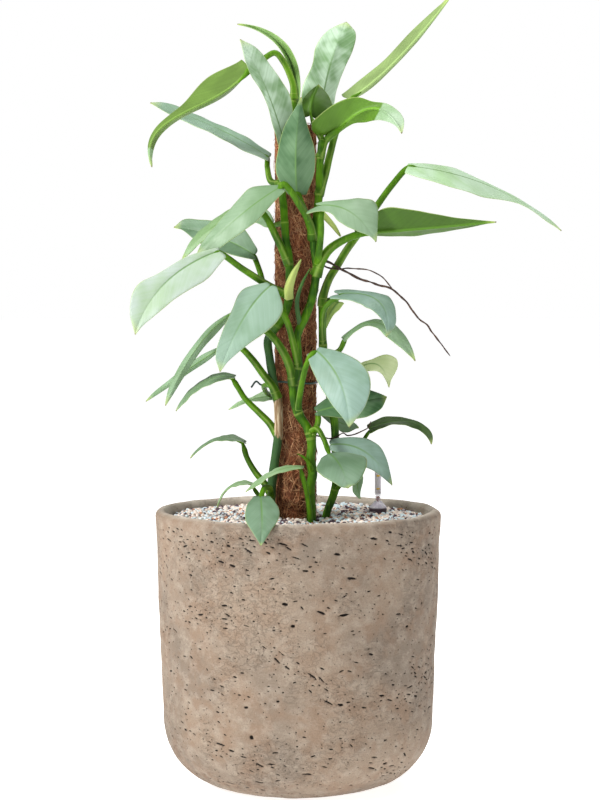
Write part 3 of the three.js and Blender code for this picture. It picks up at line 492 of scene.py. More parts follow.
# Finishes of the plant
def stem_flesh():
    finish = Finish("stem_flesh", Specular_IOR_Level=0.16)
    ring, dry = finish.value("ring"), finish.value("dry")
    streaks = finish.noise(2.2, 3, 0.6, (1, 1, 0.12))
    patches = finish.noise(17, 2, shift=(1, 4, 2)).rise(0.35, 0.7)
    ragged = finish.noise(7, 4, 0.65, (1, 1, 0.35), (9, 3, 4)) - 0.5
    dry = (dry + ragged * 1.8).rise(0.42, 0.58) * dry.rise(0, 0.12)
    husk = finish.blend(streaks.rise(0.4, 0.65), colour(128, 102, 74), colour(194, 178, 148))
    specks = finish.noise(1.2, 2, shift=(8, 1, 3)).rise(0.68, 0.74)

    tone = finish.blend(patches, colour(34, 74, 2), colour(74, 119, 5))
    for mark, shade in ((streaks.rise(0.52, 0.7) * 0.35, colour(112, 160, 30)),
                        (finish.value("fresh") * 0.5, colour(92, 140, 14)),
                        (ring.rise(0.6, 0.98) * 0.5, colour(150, 174, 80)),
                        (finish.value("old") * 0.8, colour(52, 82, 52)),
                        (dry, husk),
                        (finish.value("pale"), colour(174, 188, 108)),
                        (specks * 0.35, colour(70, 62, 34))):
        tone = finish.blend(mark, tone, shade)
    return finish.wear(Base_Color=tone, Roughness=0.45 + dry * 0.4 + streaks * 0.1,
                       Normal=finish.bump(streaks * 0.6 + ring * 0.4, 0.3, 0.6))


def root_skin():
    finish = Finish("root_skin")
    bark = finish.noise(1.6, 5, 0.7)
    tone = finish.blend(bark.rise(0.35, 0.7), colour(34, 20, 15), colour(70, 46, 34))
    tone = finish.blend(finish.value("lit").rise(0.3, 0.8) * 0.4, tone, colour(104, 76, 58))
    return finish.wear(Base_Color=tone, Roughness=0.75 + bark * 0.2, Normal=finish.bump(bark, 0.35))


def leaf_skin(name, silver, shade, under, cloud_size=34):
    """A leaf's silvery upper face, its green underside, and its midrib, soft side veins and pale margin."""
    silver, shade, under = (colour(*tone) for tone in (silver, shade, under))
    finish = Finish("leaf_" + name, Coat_Weight=0.03, Coat_Roughness=0.4, Specular_IOR_Level=0.3)
    reach, aside, edge, upper, part = (finish.value(key) for key in BLADE_VALUES)
    away = aside.math("ABSOLUTE")
    course = reach - away * VEIN_SWEEP - away * away * VEIN_CURL
    side_veins = (course + finish.noise(16, 2) * 3.0).lines(VEIN_PITCH, 0.14)
    grain_place = finish.node("CombineXYZ", {}, course / 4, aside / 60, 0.0)
    grain = finish.node("TexNoise", {}, Vector=grain_place, Scale=1.0, Detail=1.0).rise(0.3, 0.7)
    clouds = finish.noise(cloud_size, 2, 0.5).rise(0.36, 0.64)
    mottle = finish.noise(9, 2, 0.5, shift=(4, 4, 1)).rise(0.36, 0.7)
    dapple = finish.noise(12, 0.0, shift=(2, 6, 3))
    midrib_line = away.rise(1.25, 0.35) * part.rise(0.9, 0.25)

    # silver and darker clouds: partly the leaf's own marbling, partly painted sheen, soft gleams drawn as
    # silver patches
    face = finish.blend(clouds * 0.78 + grain * 0.22, shade, silver)
    face = finish.blend(side_veins * 0.22, face, shade)
    face = finish.blend(mottle * 0.12, face, silver)
    face = finish.blend(midrib_line * 0.8, face, colour(92, 130, 66))

    back = finish.blend(clouds * 0.5 + grain * 0.2, under, deeper(under, 1.6))
    back = finish.blend(side_veins * 0.2, back, deeper(under, 0.7))
    back = finish.blend(away.rise(2.0, 0.7) * 0.6, back, deeper(under, 2.2))

    tone = finish.blend(upper.rise(0.3, 0.7), back, face)
    for mark, hue in ((edge.rise(0.95, 0.992) * 0.5, colour(176, 192, 116)),  # margin
                      (part.rise(0.9, 1.0) * 0.5, colour(176, 190, 100)),  # young tip
                      (part.rise(0.985, 0.998) * 0.7, colour(112, 88, 48))):  # dry point
        tone = finish.blend(mark, tone, hue)
    return finish.wear(Base_Color=tone, Roughness=0.52 - upper * 0.08 + mottle * 0.08,
                       Normal=finish.bump(dapple, 0.3, 0.5))


# Pot: a turned wall whose pits are cut into its mesh, drawn on the unrolled wall
WALL_COLUMNS = 180
WALL_STEP = 5
LIP_RADIUS = POT_WALL / 2
LIP_RUN = 20  # how far the rows lie close together, from where the lip starts
LIP_STEP = 1.6
INSIDE_ROWS = 5
CORNER_STEPS = 60
LIP_STEPS = 40
UNROLL_RADIUS = POT_LOW_RADIUS
LIP_WORN_AND_LIT = (4, 6)  # how far past the wall's top the paler lip starts, partly wear and partly painted highlight, and the run over which it sets in
WALL_END = 236  # inside the lip, where the plain inside starts
WALL_LUMPS = ((0.45, 46, 1), (0.25, 15, 2), (0.08, 5, 3))  # their heights, sizes and seeds
LUMPS_FADE = 25  # towards both ends of the wall
PIT_BANDS = 34
BANDS_FROM = 30
BAND_SLOPE = (-13, 9)  # degrees, and their spread
BAND_SPREAD = (24, 6)  # of the pits, along a band and across it
BAND_TURN = 9  # spread of their tilt
LOOSE_TILT = (-8, 14)  # degrees, and their spread
LOOSE_FROM = 12
MOSTLY_SMALL = 1.8  # above 1 there are more small pits of a kind than large ones
PITS_FROM = 14
PITS_END = 4  # below the lip
PIT_KINDS = (  # how many, their lengths and heights, and the share of them that lies in bands
    (300, (4, 11), (0.8, 1.8), 0.75),
    (850, (2, 5), (0.6, 1.3), 0.55),
    (1400, (0.8, 2), (0.5, 1.1), 0.3),
)
PIT_RINGS = (  # share of the pit's size, room beyond that, share of its depth, and how dark its painted shade is
    (1, 0.45, 0, 0),
    (1, 0, 0.25, 0.45),
    (0.72, 0, 0.9, 1),
    (0.3, 0, 1, 1),
)
PIT_ROOM = (1.6, 1.7)  # between two pits, along and up
PIT_CLEARS = (1.25, 1)  # how much of the net it clears: times its own size, and beyond that
PIT_CORNERS = (6, 1.7, 20)  # at least, more for each millimetre of half length, and at most
PIT_DEPTH = (0.7, 0.9, 2.4)  # the same in millimetres, by its half height
PIT_RAGGED = 0.14

# The pits that stand out, from the left to the right of the front: degrees round from the front, run up
# the wall, half length, half height and tilt
NAMED_PITS = [
    (-47, 252, 2, 0.8, -8), (-42, 290, 1.8, 0.7, -5), (-35, 286, 2.1, 0.8, -10), (-31, 268, 3.5, 1, -14),
    (-26, 265, 3.2, 1.1, -16), (-21, 133, 2.2, 1.2, 0), (-19, 105, 1.8, 2.1, 0), (-18, 56, 4.4, 1, -4),
    (-8, 140, 1.6, 1, 0), (-5, 231, 2.8, 1.4, -10), (-2, 211, 2, 1.4, 0), (3, 262, 2.8, 0.9, -8),
    (4, 69, 4.8, 1, -3), (9, 223, 4, 1.1, -25), (15, 277, 3.2, 1.2, -12), (17, 136, 2.8, 1, -10),
    (18, 220, 4.4, 1.3, 5), (21, 254, 4.4, 1.1, -8), (30, 290, 3.6, 1, -10), (40, 73, 3.2, 1.1, 5),
    (49, 203, 2, 1.2, 0), (59, 222, 1.6, 1.5, 0), (64, 288, 2.4, 0.8, 0),
]


def arc(centre, radius, start, end, steps):
    turn = np.radians(np.linspace(start, end, steps + 1))
    return np.column_stack([centre[0] + radius * np.cos(turn), centre[1] + radius * np.sin(turn)])


def inside_radius(height):
    slope = (POT_RIM_RADIUS - POT_LOW_RADIUS) / (POT_HEIGHT - LIP_RADIUS - POT_CORNER)
    return POT_LOW_RADIUS - POT_WALL + slope * (height - POT_CORNER)


def wall_profile():
    corner = arc((POT_LOW_RADIUS - POT_CORNER, POT_CORNER), POT_CORNER, -90, 0, CORNER_STEPS)
    top = arc((POT_RIM_RADIUS - LIP_RADIUS, POT_HEIGHT - LIP_RADIUS), LIP_RADIUS, 0, 180, LIP_STEPS)
    return np.vstack([corner, top, [(inside_radius(WALL_END), WALL_END)]])


@dataclass
class Pit:
    """A pit on the unrolled wall, its tilt in degrees."""
    along: float
    up: float
    half_long: float
    half_high: float
    tilt: float

    def near(self, other):
        return (abs(self.along - other.along) < self.half_long + PIT_ROOM[0] + other.half_long
                and abs(self.up - other.up) < self.half_high + other.half_high + PIT_ROOM[1])

    def covers(self, points):
        """Whether each point lies on the pit or close to its edge."""
        slant = math.radians(self.tilt)
        along, up = points[:, 0] - self.along, points[:, 1] - self.up
        x = along * math.cos(slant) + up * math.sin(slant)
        y = up * math.cos(slant) - along * math.sin(slant)
        scale, room = PIT_CLEARS
        return (x / (self.half_long * scale + room)) ** 2 + (y / (self.half_high * scale + room)) ** 2 <= 1

    def rings(self, draw):
        """Rings of wall points, each with how deep it lies and how dark its painted shade is."""
        slant = math.radians(self.tilt)
        turn = round_turn(int(min(PIT_CORNERS[2], PIT_CORNERS[0] + PIT_CORNERS[1] * self.half_long)))
        ragged = 1 + draw.normal(0, PIT_RAGGED, len(turn))
        deepest = min(PIT_DEPTH[2], PIT_DEPTH[0] + PIT_DEPTH[1] * self.half_high)
        for scale, spare, depth, dark in PIT_RINGS[:3] if self.half_long < 1 else PIT_RINGS:
            out = ragged * scale if scale > 0.5 else scale
            x = np.cos(turn) * (self.half_long * out + spare)
            y = np.sin(turn) * (self.half_high * out + spare)
            yield np.column_stack([self.along + x * math.cos(slant) - y * math.sin(slant),
                                   self.up + x * math.sin(slant) + y * math.cos(slant),
                                   np.full(len(turn), depth * deepest), np.full(len(turn), dark)])


def scattered_pits(draw, length, tall):
    """The pits that stand out, then long, middling and small ones, many of them in loose bands."""
    bands = [(draw.uniform(0, length), draw.uniform(BANDS_FROM, tall), draw.normal(*BAND_SLOPE))
             for _ in range(PIT_BANDS)]
    pits = [Pit((math.radians(angle) + np.pi) * UNROLL_RADIUS, *rest) for angle, *rest in NAMED_PITS]
    for count, lengths, heights, banded in PIT_KINDS:
        wanted = len(pits) + count
        while len(pits) < wanted:
            if draw.random() < banded:
                band_along, band_up, slope = bands[draw.integers(len(bands))]
                run = draw.normal(0, BAND_SPREAD[0])
                along = band_along + run
                up = band_up + run * math.tan(math.radians(slope)) + draw.normal(0, BAND_SPREAD[1])
                tilt = slope + draw.normal(0, BAND_TURN)
            else:
                along, up = draw.uniform(0, length), draw.uniform(LOOSE_FROM, tall)
                tilt = draw.normal(*LOOSE_TILT)
            size = draw.uniform(0, 1) ** MOSTLY_SMALL
            half_long = (lengths[0] + (lengths[1] - lengths[0]) * size) / 2
            pit = Pit(along, up, half_long, draw.uniform(*heights) / 2, tilt)
            margin = half_long + PIT_ROOM[0]
            inside = margin < along < length - margin and PITS_FROM < up < tall
            if inside and not any(map(pit.near, pits)):
                pits.append(pit)
    return pits


def pitted_wall(form):
    """The pot's outside and lip: a net of points on the unrolled wall, broken by the rings of the pits."""
    profile = wall_profile()
    run = run_along(profile)
    slopes = unit(np.gradient(profile, axis=0))
    length = 2 * np.pi * UNROLL_RADIUS
    top = run[-1]
    straight = slice(CORNER_STEPS + 2)
    wall = np.interp(POT_HEIGHT - LIP_RADIUS, profile[straight, 1], run[straight])
    levels = np.concatenate([np.linspace(0, wall, round(wall / WALL_STEP) + 1),
                             np.linspace(wall, wall + LIP_RUN, round(LIP_RUN / LIP_STEP) + 1)[1:],
                             np.linspace(wall + LIP_RUN, top, INSIDE_ROWS + 1)[1:]])
    along, up = np.meshgrid(np.linspace(0, length, WALL_COLUMNS + 1), levels)
    net = np.column_stack([along.ravel(), up.ravel(), np.zeros((along.size, 2))])
    kept = np.ones(len(net), bool)
    rings = []
    draw = np.random.default_rng(POT_SEED)
    for pit in scattered_pits(draw, length, wall - PITS_END):
        kept &= ~pit.covers(net)
        rings.extend(pit.rings(draw))
    net = np.vstack([net[kept], *rings])
    _, _, faces, origins, _, _ = delaunay_2d_cdt([Vector(point) for point in net[:, :2]], [], [], 0, 1e-5)
    net = net[[origin[0] for origin in origins]]
    faces = np.array(list(faces))
    a, b, c = (net[faces[:, corner], :2] for corner in range(3))
    turned_over = np.cross(b - a, c - a) < 0
    faces[turned_over] = faces[turned_over][:, ::-1]

    along, up, depth, dark = net.T
    turn = along / UNROLL_RADIUS + np.pi / 2
    radius, height = (np.interp(up, run, profile[:, axis]) for axis in (0, 1))
    outward, upward = np.interp(up, run, slopes[:, 1]), -np.interp(up, run, slopes[:, 0])
    place = np.column_stack([radius * np.cos(turn), radius * np.sin(turn), height])
    fade = np.clip(np.minimum(up, top - up) / LUMPS_FADE, 0, 1)
    lift = sum(lump * wobble(place, *kind) for lump, *kind in WALL_LUMPS) * fade - depth
    place += np.column_stack([outward * np.cos(turn), outward * np.sin(turn), upward]) * lift[:, None]
    # share of the lip's paler tone: partly wear, partly painted highlight
    worn = np.clip((up - wall - LIP_WORN_AND_LIT[0]) / LIP_WORN_AND_LIT[1], 0, 1) * (0.8 + 0.2 * wobble(place, 20, 6))
    form.add(place, [faces], pit=dark, worn=worn)


def pot():
    form = Form("pit", "worn")
    pitted_wall(form)
    corner = (POT_LOW_RADIUS - POT_CORNER, POT_CORNER)
    base = [(0, 0), (25, 0), (corner[0], 0)]
    inside = [(inside_radius(WALL_END), WALL_END), (inside_radius(150), 150),
              *arc(corner, POT_CORNER - POT_WALL, 0, -90, 12), (30, POT_FLOOR), (0, POT_FLOOR)]
    for profile, worn in ((base, 0), (inside, 0.75)):
        turned(form, profile, WALL_COLUMNS, start=np.pi / 2, worn=worn)
    form.piece("pot_fibre_clay", clay(), "clay", "pot", weld=True)


# Granules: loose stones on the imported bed
PEBBLE_SPACING = 4.1
PEBBLE_ROOM = 1.9  # between their middles and the wall
PEBBLE_SHIFT = 0.9
PEBBLE_RISE = 1.9
PEBBLE_RADII = (1.8, 2.7)
PEBBLE_SQUASH = (0.8, 1.1)
PEBBLE_LUMPS = 0.1
BED_SWELL = (0.8, 22, 4)  # height, size and seed
COMES_UP = [(POLE_AT[:2], 21.5), ((-26.5, -16), 6), ((12.7, -29.5), 6.2), ((27, -14), 5), (GAUGE_AT[:2], 10)]
GRANULE_KINDS = {  # share of all, main and other colour, and the colour of the veins
    "cream": (0.41, (246, 230, 220), (228, 206, 190), (250, 244, 238)),
    "ice": (0.3, (212, 232, 240), (238, 244, 246), (190, 214, 226)),
    "plum": (0.18, (82, 60, 74), (58, 42, 52), (120, 98, 108)),
    "grey": (0.07, (164, 158, 160), (200, 196, 196), (128, 122, 124)),
    "rust": (0.04, (190, 132, 96), (164, 102, 76), (214, 170, 134)),
}


def pebble():
    """A cube cut in four on each face and rounded off: its points and faces."""
    spots = [spot for spot in product((-1, 0, 1), repeat=3) if any(spot)]
    faces = []
    for axis, side, low_a, low_b in product(range(3), (-1, 1), (-1, 0), (-1, 0)):
        quad = [spots.index(tuple(np.roll([side, low_a + a, low_b + b], axis)))
                for a, b in ((0, 0), (1, 0), (1, 1), (0, 1))]
        faces.append(quad[::side])
    points = np.array(spots, float)
    roundness = 0.75 + 0.25 * np.linalg.norm(points, axis=1, keepdims=True) / math.sqrt(3)
    return unit(points) * roundness, np.array(faces)


def granules():
    draw = np.random.default_rng(GRAIN_SEED)
    edge = inside_radius(FILL_TOP) - PEBBLE_ROOM
    steps = int(edge / PEBBLE_SPACING) + 2
    i, j = np.meshgrid(np.arange(-steps, steps + 1), np.arange(-steps * 1.2, steps * 1.2 + 1))
    x = (i + 0.5 * (j % 2)) * PEBBLE_SPACING
    y = j * PEBBLE_SPACING * math.sqrt(0.75)
    spots = np.column_stack([x.ravel(), y.ravel()]) + draw.uniform(-PEBBLE_SHIFT, PEBBLE_SHIFT, (x.size, 2))
    free = np.linalg.norm(spots, axis=1) < edge
    for centre, radius in COMES_UP:
        free &= np.linalg.norm(spots - centre, axis=1) > radius
    spots = spots[free]
    count = len(spots)
    swell = BED_SWELL[0] * wobble(np.column_stack([spots, np.zeros(count)]), *BED_SWELL[1:])
    centres = np.column_stack([spots, FILL_TOP + draw.uniform(0, PEBBLE_RISE, count) + swell])
    shape, faces = pebble()
    spins = np.linalg.qr(draw.normal(size=(count, 3, 3)))[0]
    spins[np.linalg.det(spins) < 0] *= -1
    sizes = draw.uniform(*PEBBLE_RADII, (count, 1)) * draw.uniform(*PEBBLE_SQUASH, (count, 3))
    lumps = draw.normal(1, PEBBLE_LUMPS, (count, len(shape), 1))
    points = np.einsum("nij,npj->npi", spins, shape * lumps * sizes[:, None]) + centres[:, None]
    kind_of = draw.choice(len(GRANULE_KINDS), count, p=[share for share, *_ in GRANULE_KINDS.values()])
    for kind, (name, (_, *shades)) in enumerate(GRANULE_KINDS.items()):
        chosen = points[kind_of == kind]
        form = Form("tone")
        shift = (np.arange(len(chosen)) * len(shape))[:, None, None]
        tone = np.repeat(draw.random(len(chosen)), len(shape))
        form.add(chosen, [(faces + shift).reshape(-1, 4)], tone=tone)
        form.piece("granules_" + name, stone("stone_" + name, *shades), "granule_stone")


# The plant, as in the CAD model. A leaf's stalk runs from the stem to its blade, and base, bow, droop and
# tip are its midrib. left and right are the ways from the midrib to the margins, and turn towards left_end
# and right_end at the tip. left_half and right_half are the widths of the halves at the stations. shows is
# the face that looks at the camera.
@dataclass
class Leaf:
    name: str
    stem: str
    tone: str
    shows: str
    radii: tuple
    stalk: list
    base: tuple
    bow: tuple
    tip: tuple
    left: tuple
    left_half: tuple
    right: tuple
    right_half: tuple
    droop: tuple = None
    left_end: tuple = None
    right_end: tuple = None
    lobe: float = None
    bulge: float = 0.1
    wave: float = 0.8
    waves: float = 1.5
    turn: float = 2  # share of the blade from where its far end shows the other face


STEMS = {
    "stem_left": {
        "path": [(-27, -16, 205), (-26.5, -16, 262), (-26.4, -16, 286), (-23, -19, 315),
                 (-19.5, -22, 343), (-19.6, -22, 373), (-23.8, -19, 394), (-28, -15, 419),
                 (-29.4, -13, 435), (-23, -19, 445), (-14, -25, 458), (-9, -28, 475),
                 (-8.8, -28.5, 511), (-12, -27.5, 533), (-14, -26, 563), (-16, -24, 590),
                 (-13, -25, 622), (-7, -26, 650), (-4, -26, 668)],
        "radii": (4.6, 3.4),
    },
    "stem_centre": {
        "path": [(12.7, -29, 205), (12.7, -29, 262), (12, -30, 295), (14, -31, 305), (12, -31, 320),
                 (13, -30.5, 336), (9, -30.5, 350), (1, -30.5, 363), (-3, -31, 374), (-4.5, -31, 392),
                 (0, -31, 408), (-1, -31, 439), (7, -30, 458), (13, -28, 474), (17, -27, 495),
                 (18, -26.5, 506), (15, -28, 528), (17, -27, 548), (20, -24, 575), (21, -23, 605),
                 (23, -21, 630)],
        "radii": (4.8, 3.6),
    },
    "stem_right": {
        "path": [(26, -14, 205), (27, -14, 262), (34, -12, 282), (36.6, -12, 293), (36.2, -12, 337),
                 (35, -13, 357), (31, -15, 380), (27, -17, 400), (24, -19, 430), (23.5, -20, 458),
                 (24, -20, 476)],
        "radii": (3.7, 4),
    },
}
LEAVES = [
    Leaf("leaf_top_right", "stem_centre", "sage", "under", radii=(4.2, 2.6),
         stalk=[(20, -24, 575), (26, -16, 594), (31, -10, 615), (38, -5, 639), (49, -4, 657)],
         base=(53, -2, 670), bow=(91, 4, 694), tip=(151, 40, 773),
         left=(-5, 15, 6), left_half=(21, 25, 21, 21, 11),
         right=(3, 12, -3), right_end=(4, 6, -4), right_half=(4, 7, 5, 4, 2), lobe=8),
    Leaf("leaf_top_upright", "stem_centre", "marbled", "upper", radii=(3, 2.4),
         stalk=[(35, -6, 630), (29, 4, 651)],
         base=(24, 15, 667), bow=(29, 20, 707), tip=(48, 44, 749),
         left=(-28, -3, 0), left_half=(20, 22, 18, 20, 14),
         right=(12, 14, 0), right_end=(14, 2, -3), right_half=(18, 16, 17, 18, 13)),
    Leaf("leaf_top_left", "stem_left", "marbled", "upper", radii=(3.4, 2.6),
         stalk=[(-14, -25, 605), (-13, -31, 613)],
         base=(-13, -34, 620), bow=(-24, -55, 670), tip=(-54, -72, 718),
         left=(-9, -12, -2), left_half=(8, 9, 8, 13, 6),
         right=(10, 5, 3), right_half=(5, 15, 21, 16, 10)),
    Leaf("leaf_newest_curled", "stem_left", "fresh", "upper", radii=(2.4, 2),
         stalk=[(-4, -25, 664), (-3, -14, 660)],
         base=(-2, -6, 665), bow=(0, -6, 733), tip=(-59, -2, 741),
         left=(-3, -8, -3), left_end=(-1, -8, -6), left_half=(9, 9, 8, 5, 2),
         right=(5, -7, 3), right_end=(1, -7, 6), right_half=(7, 10, 9, 5, 2), lobe=2),
    Leaf("leaf_top_back", "stem_centre", "deep", "under", radii=(2.6, 2.2),
         stalk=[(23, -20, 628), (16, -14, 642)],
         base=(12, -9, 653), bow=(12, -8, 672), tip=(20, 6, 683),
         left=(-13, -1, -1), left_half=(9, 10, 9, 6, 3),
         right=(18, -1, -9), right_half=(21, 25, 23, 18, 9), lobe=3),
    Leaf("leaf_upper_left_drooping", "stem_left", "olive", "under", radii=(3.4, 2.6),
         stalk=[(-4, -26, 666), (-4.5, -26, 679), (-8, -26, 690), (-14, -26, 702), (-22, -26, 710.5),
                (-33, -25, 705)],
         base=(-48, -23, 694), bow=(-77, -30, 653), droop=(-156, -42, 653), tip=(-139, -50, 600),
         left=(-7, 15, 9), left_end=(-6, 8, 0), left_half=(22, 43, 19, 9, 3),
         right=(-0.5, 12, 1), right_end=(5, 8, -2), right_half=(20, 30, 14, 10, 6), lobe=4, turn=0.84),
    Leaf("leaf_upper_left_back", "stem_left", "dew", "upper", radii=(3.2, 2.4),
         stalk=[(-16, -24, 586), (-26, -14, 588), (-30, 0, 603)],
         base=(-30, 8, 614), bow=(-77, 40, 647), tip=(-149, 72, 672),
         left=(-2, -14, -5), left_half=(11, 22, 25, 21, 11),
         right=(1, 12, 6), right_half=(13, 13, 11, 13, 11), lobe=6),
    Leaf("leaf_centre_spear", "stem_centre", "spear", "upper", radii=(3.6, 2.8),
         stalk=[(15, -28, 532), (8, -33, 554)],
         base=(-1, -38, 577), bow=(-5, -62, 617), tip=(3, -62, 665),
         left=(-20, 7, 2), left_half=(10, 20, 18, 13, 4),
         right=(15, 7, 1), right_half=(10, 19, 20, 11, 3), lobe=5),
    Leaf("leaf_upper_right_arching", "stem_centre", "lush", "under", radii=(3.8, 2.8),
         stalk=[(21, -23, 610), (27, -19, 628)],
         base=(38, -18, 638), bow=(78, -30, 679), tip=(98, -60, 631),
         left=(-8, -12, 14), left_end=(12, 10, 8), left_half=(29, 20, 7, 9, 10),
         right=(2, 10, -12), right_end=(-8, 6, -6), right_half=(4, 9, 17, 10, 2), lobe=32, turn=0.56),
    Leaf("leaf_left_front_silver", "stem_centre", "mint", "upper", radii=(4.2, 3),
         stalk=[(14, -28, 532), (12, -34, 545), (7, -40, 556), (0, -45, 567), (-8, -49, 579),
                (-14, -50, 584)],
         base=(-19, -50, 580), bow=(-52, -60, 560), tip=(-97, -50, 516),
         left=(-10, 12, 8), left_half=(4, 21, 18, 12, 7),
         right=(13, -9, -13), right_half=(7, 11, 16, 14, 9), lobe=5),
    Leaf("leaf_left_front_under", "stem_left", "sage", "upper", radii=(4, 2.8),
         stalk=[(-9, -28.5, 508), (-20, -33, 532), (-34, -34, 557)],
         base=(-44, -30, 562), bow=(-88, -30, 549), tip=(-112, -22, 513),
         left=(-3, 11, 5), left_half=(8, 14, 14, 12, 6),
         right=(8, -6, -9), right_half=(4, 8, 6, 5, 3), lobe=3),
    Leaf("leaf_far_left", "stem_left", "celadon", "upper", radii=(4, 2.8),
         stalk=[(-9, -28, 478), (-27, -35, 487), (-52, -48, 503)],
         base=(-76, -60, 520), bow=(-136, -80, 498), tip=(-152, -95, 442),
         left=(-12, 4, 12), left_half=(4, 8, 11, 20, 13),
         right=(12, -10, -14), right_half=(10, 23, 21, 15, 5), lobe=4),
    Leaf("leaf_left_back_grey", "stem_left", "slate", "upper", radii=(3.6, 2.4),
         stalk=[(-20, -21, 450), (-31, -8, 478), (-38, 4, 503)],
         base=(-45, 12, 519), bow=(-77, 45, 540), tip=(-126, 78, 547),
         left=(-2, -14, -10), left_half=(7, 17, 22, 18, 3),
         right=(2, 10, 21), right_half=(9, 22, 19, 14, 10)),
    Leaf("leaf_left_back_small", "stem_left", "grey", "upper", radii=(2.6, 2.2),
         stalk=[(-13, -26, 548), (-27, -8, 546), (-28, 14, 548)],
         base=(-27, 24, 550), bow=(-38, 32, 560), tip=(-51, 54, 552),
         left=(-2, -5, -8), left_half=(5, 9, 8, 6, 3),
         right=(2, 3, 9), right_half=(5, 9, 8, 6, 3), lobe=5),
    Leaf("leaf_middle_left_broad", "stem_centre", "dew", "upper", radii=(3.2, 2.6),
         stalk=[(0, -31, 408), (-4, -36, 428), (-11, -40, 454), (-22, -45, 475)],
         base=(-27, -53, 487), bow=(-54, -68, 465), tip=(-74, -68, 406),
         left=(-22, 3, 9), left_half=(6, 17, 14, 12, 9),
         right=(19, -2, -10), right_half=(6, 26, 27, 15, 4), lobe=4),
    Leaf("leaf_middle_left_folded", "stem_centre", "grey", "upper", radii=(4.4, 2.8),
         stalk=[(-4.5, -31, 392), (-8, -34, 409), (-15, -37, 425), (-27, -37, 441), (-48, -34, 454)],
         base=(-67, -33, 458), bow=(-101, -38, 436), tip=(-128, -34, 372),
         left=(-5, 15, 4), left_end=(-8, 8, 5), left_half=(5, 8, 7, 7, 5),
         right=(8, 15, -7), right_end=(8, 6, -7), right_half=(3, 8, 7, 6, 3)),
    Leaf("leaf_middle_left_narrow", "stem_left", "grey", "upper", radii=(4, 2.6),
         stalk=[(-20, -22, 378), (-25, -23, 390), (-34, -24, 402), (-45, -25, 417), (-56, -25, 428),
                (-68, -24, 432)],
         base=(-80, -20, 424), bow=(-104, -10, 410), tip=(-151, 22, 373),
         left=(-4, 12, 6), left_end=(-6, 8, 8), left_half=(4, 7, 6, 4, 3),
         right=(4, 10, -6), right_end=(6, 6, -8), right_half=(3, 6, 5, 4, 2)),
    Leaf("leaf_low_left_side", "stem_left", "grey", "upper", radii=(3.6, 2.4),
         stalk=[(-20, -21, 342), (-28, -18, 354), (-38, -15, 364), (-52, -12, 378), (-59, -10, 389)],
         base=(-65, -8, 399), bow=(-99, 0, 401), tip=(-121, 16, 364),
         left=(0, 16, 4), left_half=(8, 13, 12, 10, 5),
         right=(-2, -15, -5), right_end=(-1, -8, -8), right_half=(6, 10, 11, 12, 5)),
    Leaf("leaf_low_left_back", "stem_left", "sage", "upper", radii=(3, 2),
         stalk=[(-24, -19, 392), (-33, -6, 390), (-31, 12, 382)],
         base=(-27, 22, 378), bow=(-47, 30, 377), tip=(-70, 54, 363),
         left=(0, 7, 7), left_half=(6, 7, 4, 4, 2),
         right=(0, -7, -6), right_half=(6, 6, 3, 3, 2), lobe=5),
    Leaf("leaf_front_broad", "stem_centre", "sea", "upper", radii=(3.2, 2.6),
         stalk=[(0, -30.5, 364), (1, -37, 378), (4, -43, 396), (8, -48, 412), (13, -50, 422)],
         base=(18, -51, 425), bow=(46, -84, 404), tip=(48, -92, 355),
         left=(-17, 3, -10), left_half=(10, 17, 19, 14, 5),
         right=(21, 4, 14), right_half=(5, 16, 26, 29, 19), lobe=4),
    Leaf("leaf_behind_front_broad", "stem_centre", "spear", "upper", radii=(3, 2.4),
         stalk=[(12, -30.5, 340), (19, -32, 354)],
         base=(20, -33, 367), bow=(51, -36, 376), tip=(86, -26, 380),
         left=(2, -6, -13), left_half=(4, 10, 16, 17, 11),
         right=(-2, 7, 17), right_half=(5, 12, 16, 12, 5)),
    Leaf("leaf_right_arching_thin", "stem_right", "grey", "upper", radii=(3, 2.2),
         stalk=[(25, -18, 418), (33, -20, 421), (40, -21, 425)],
         base=(45, -22, 438), bow=(80, -18, 475), tip=(112, -50, 416),
         left=(-3, 14, 3), left_end=(10, 6, 7), left_half=(6, 7, 6, 9, 5),
         right=(3, -14, -6), right_end=(-10, -6, -7), right_half=(6, 9, 8, 10, 5), lobe=4, wave=1.5),
    Leaf("leaf_right_hooked", "stem_right", "sea", "upper", radii=(3, 2.4),
         stalk=[(24, -19, 430), (23, -26, 448), (25, -31, 464), (33, -33, 473)],
         base=(45, -34, 480), bow=(92, -50, 483), tip=(84, -56, 439),
         left=(-8, -10, -11), left_end=(-11, -4, 2), left_half=(7, 14, 16, 10, 2),
         right=(5, 12, 6), right_end=(11, 6, 2), right_half=(9, 8, 15, 12, 9), lobe=18),
    Leaf("leaf_right_small_yellow", "stem_right", "lime", "upper", radii=(2.6, 2),
         stalk=[(24, -20, 468), (32, -12, 474)],
         base=(39, -7, 471), bow=(30, -8, 463), tip=(25, -9, 443),
         left=(8, 3, -5), left_half=(5, 6, 4, 3, 2),
         right=(-8, 3, 5), right_half=(5, 8, 6, 3, 2), lobe=4),
    Leaf("leaf_right_silver", "stem_centre", "mint", "upper", radii=(3.4, 2.8),
         stalk=[(18, -26.5, 506), (20, -36, 518), (22, -43, 540), (22, -47, 557)],
         base=(24, -47, 564), bow=(54, -60, 565), tip=(74, -62, 529),
         left=(-10, -6, -9), left_half=(13, 10, 15, 12, 3),
         right=(8, 9, 10), right_half=(4, 9, 21, 27, 11), lobe=13),
    Leaf("leaf_far_right_long", "stem_right", "pale", "upper", radii=(4.2, 2.8),
         stalk=[(24, -20, 476), (30, -19, 494), (38, -17, 507), (47, -15, 522), (58, -12, 537),
                (78, -8, 567), (92, -4, 586)],
         base=(108, 0, 604), bow=(195, 25, 597), tip=(265, 60, 543),
         left=(4, 15, 8), left_half=(6, 15, 5, 4, 4),
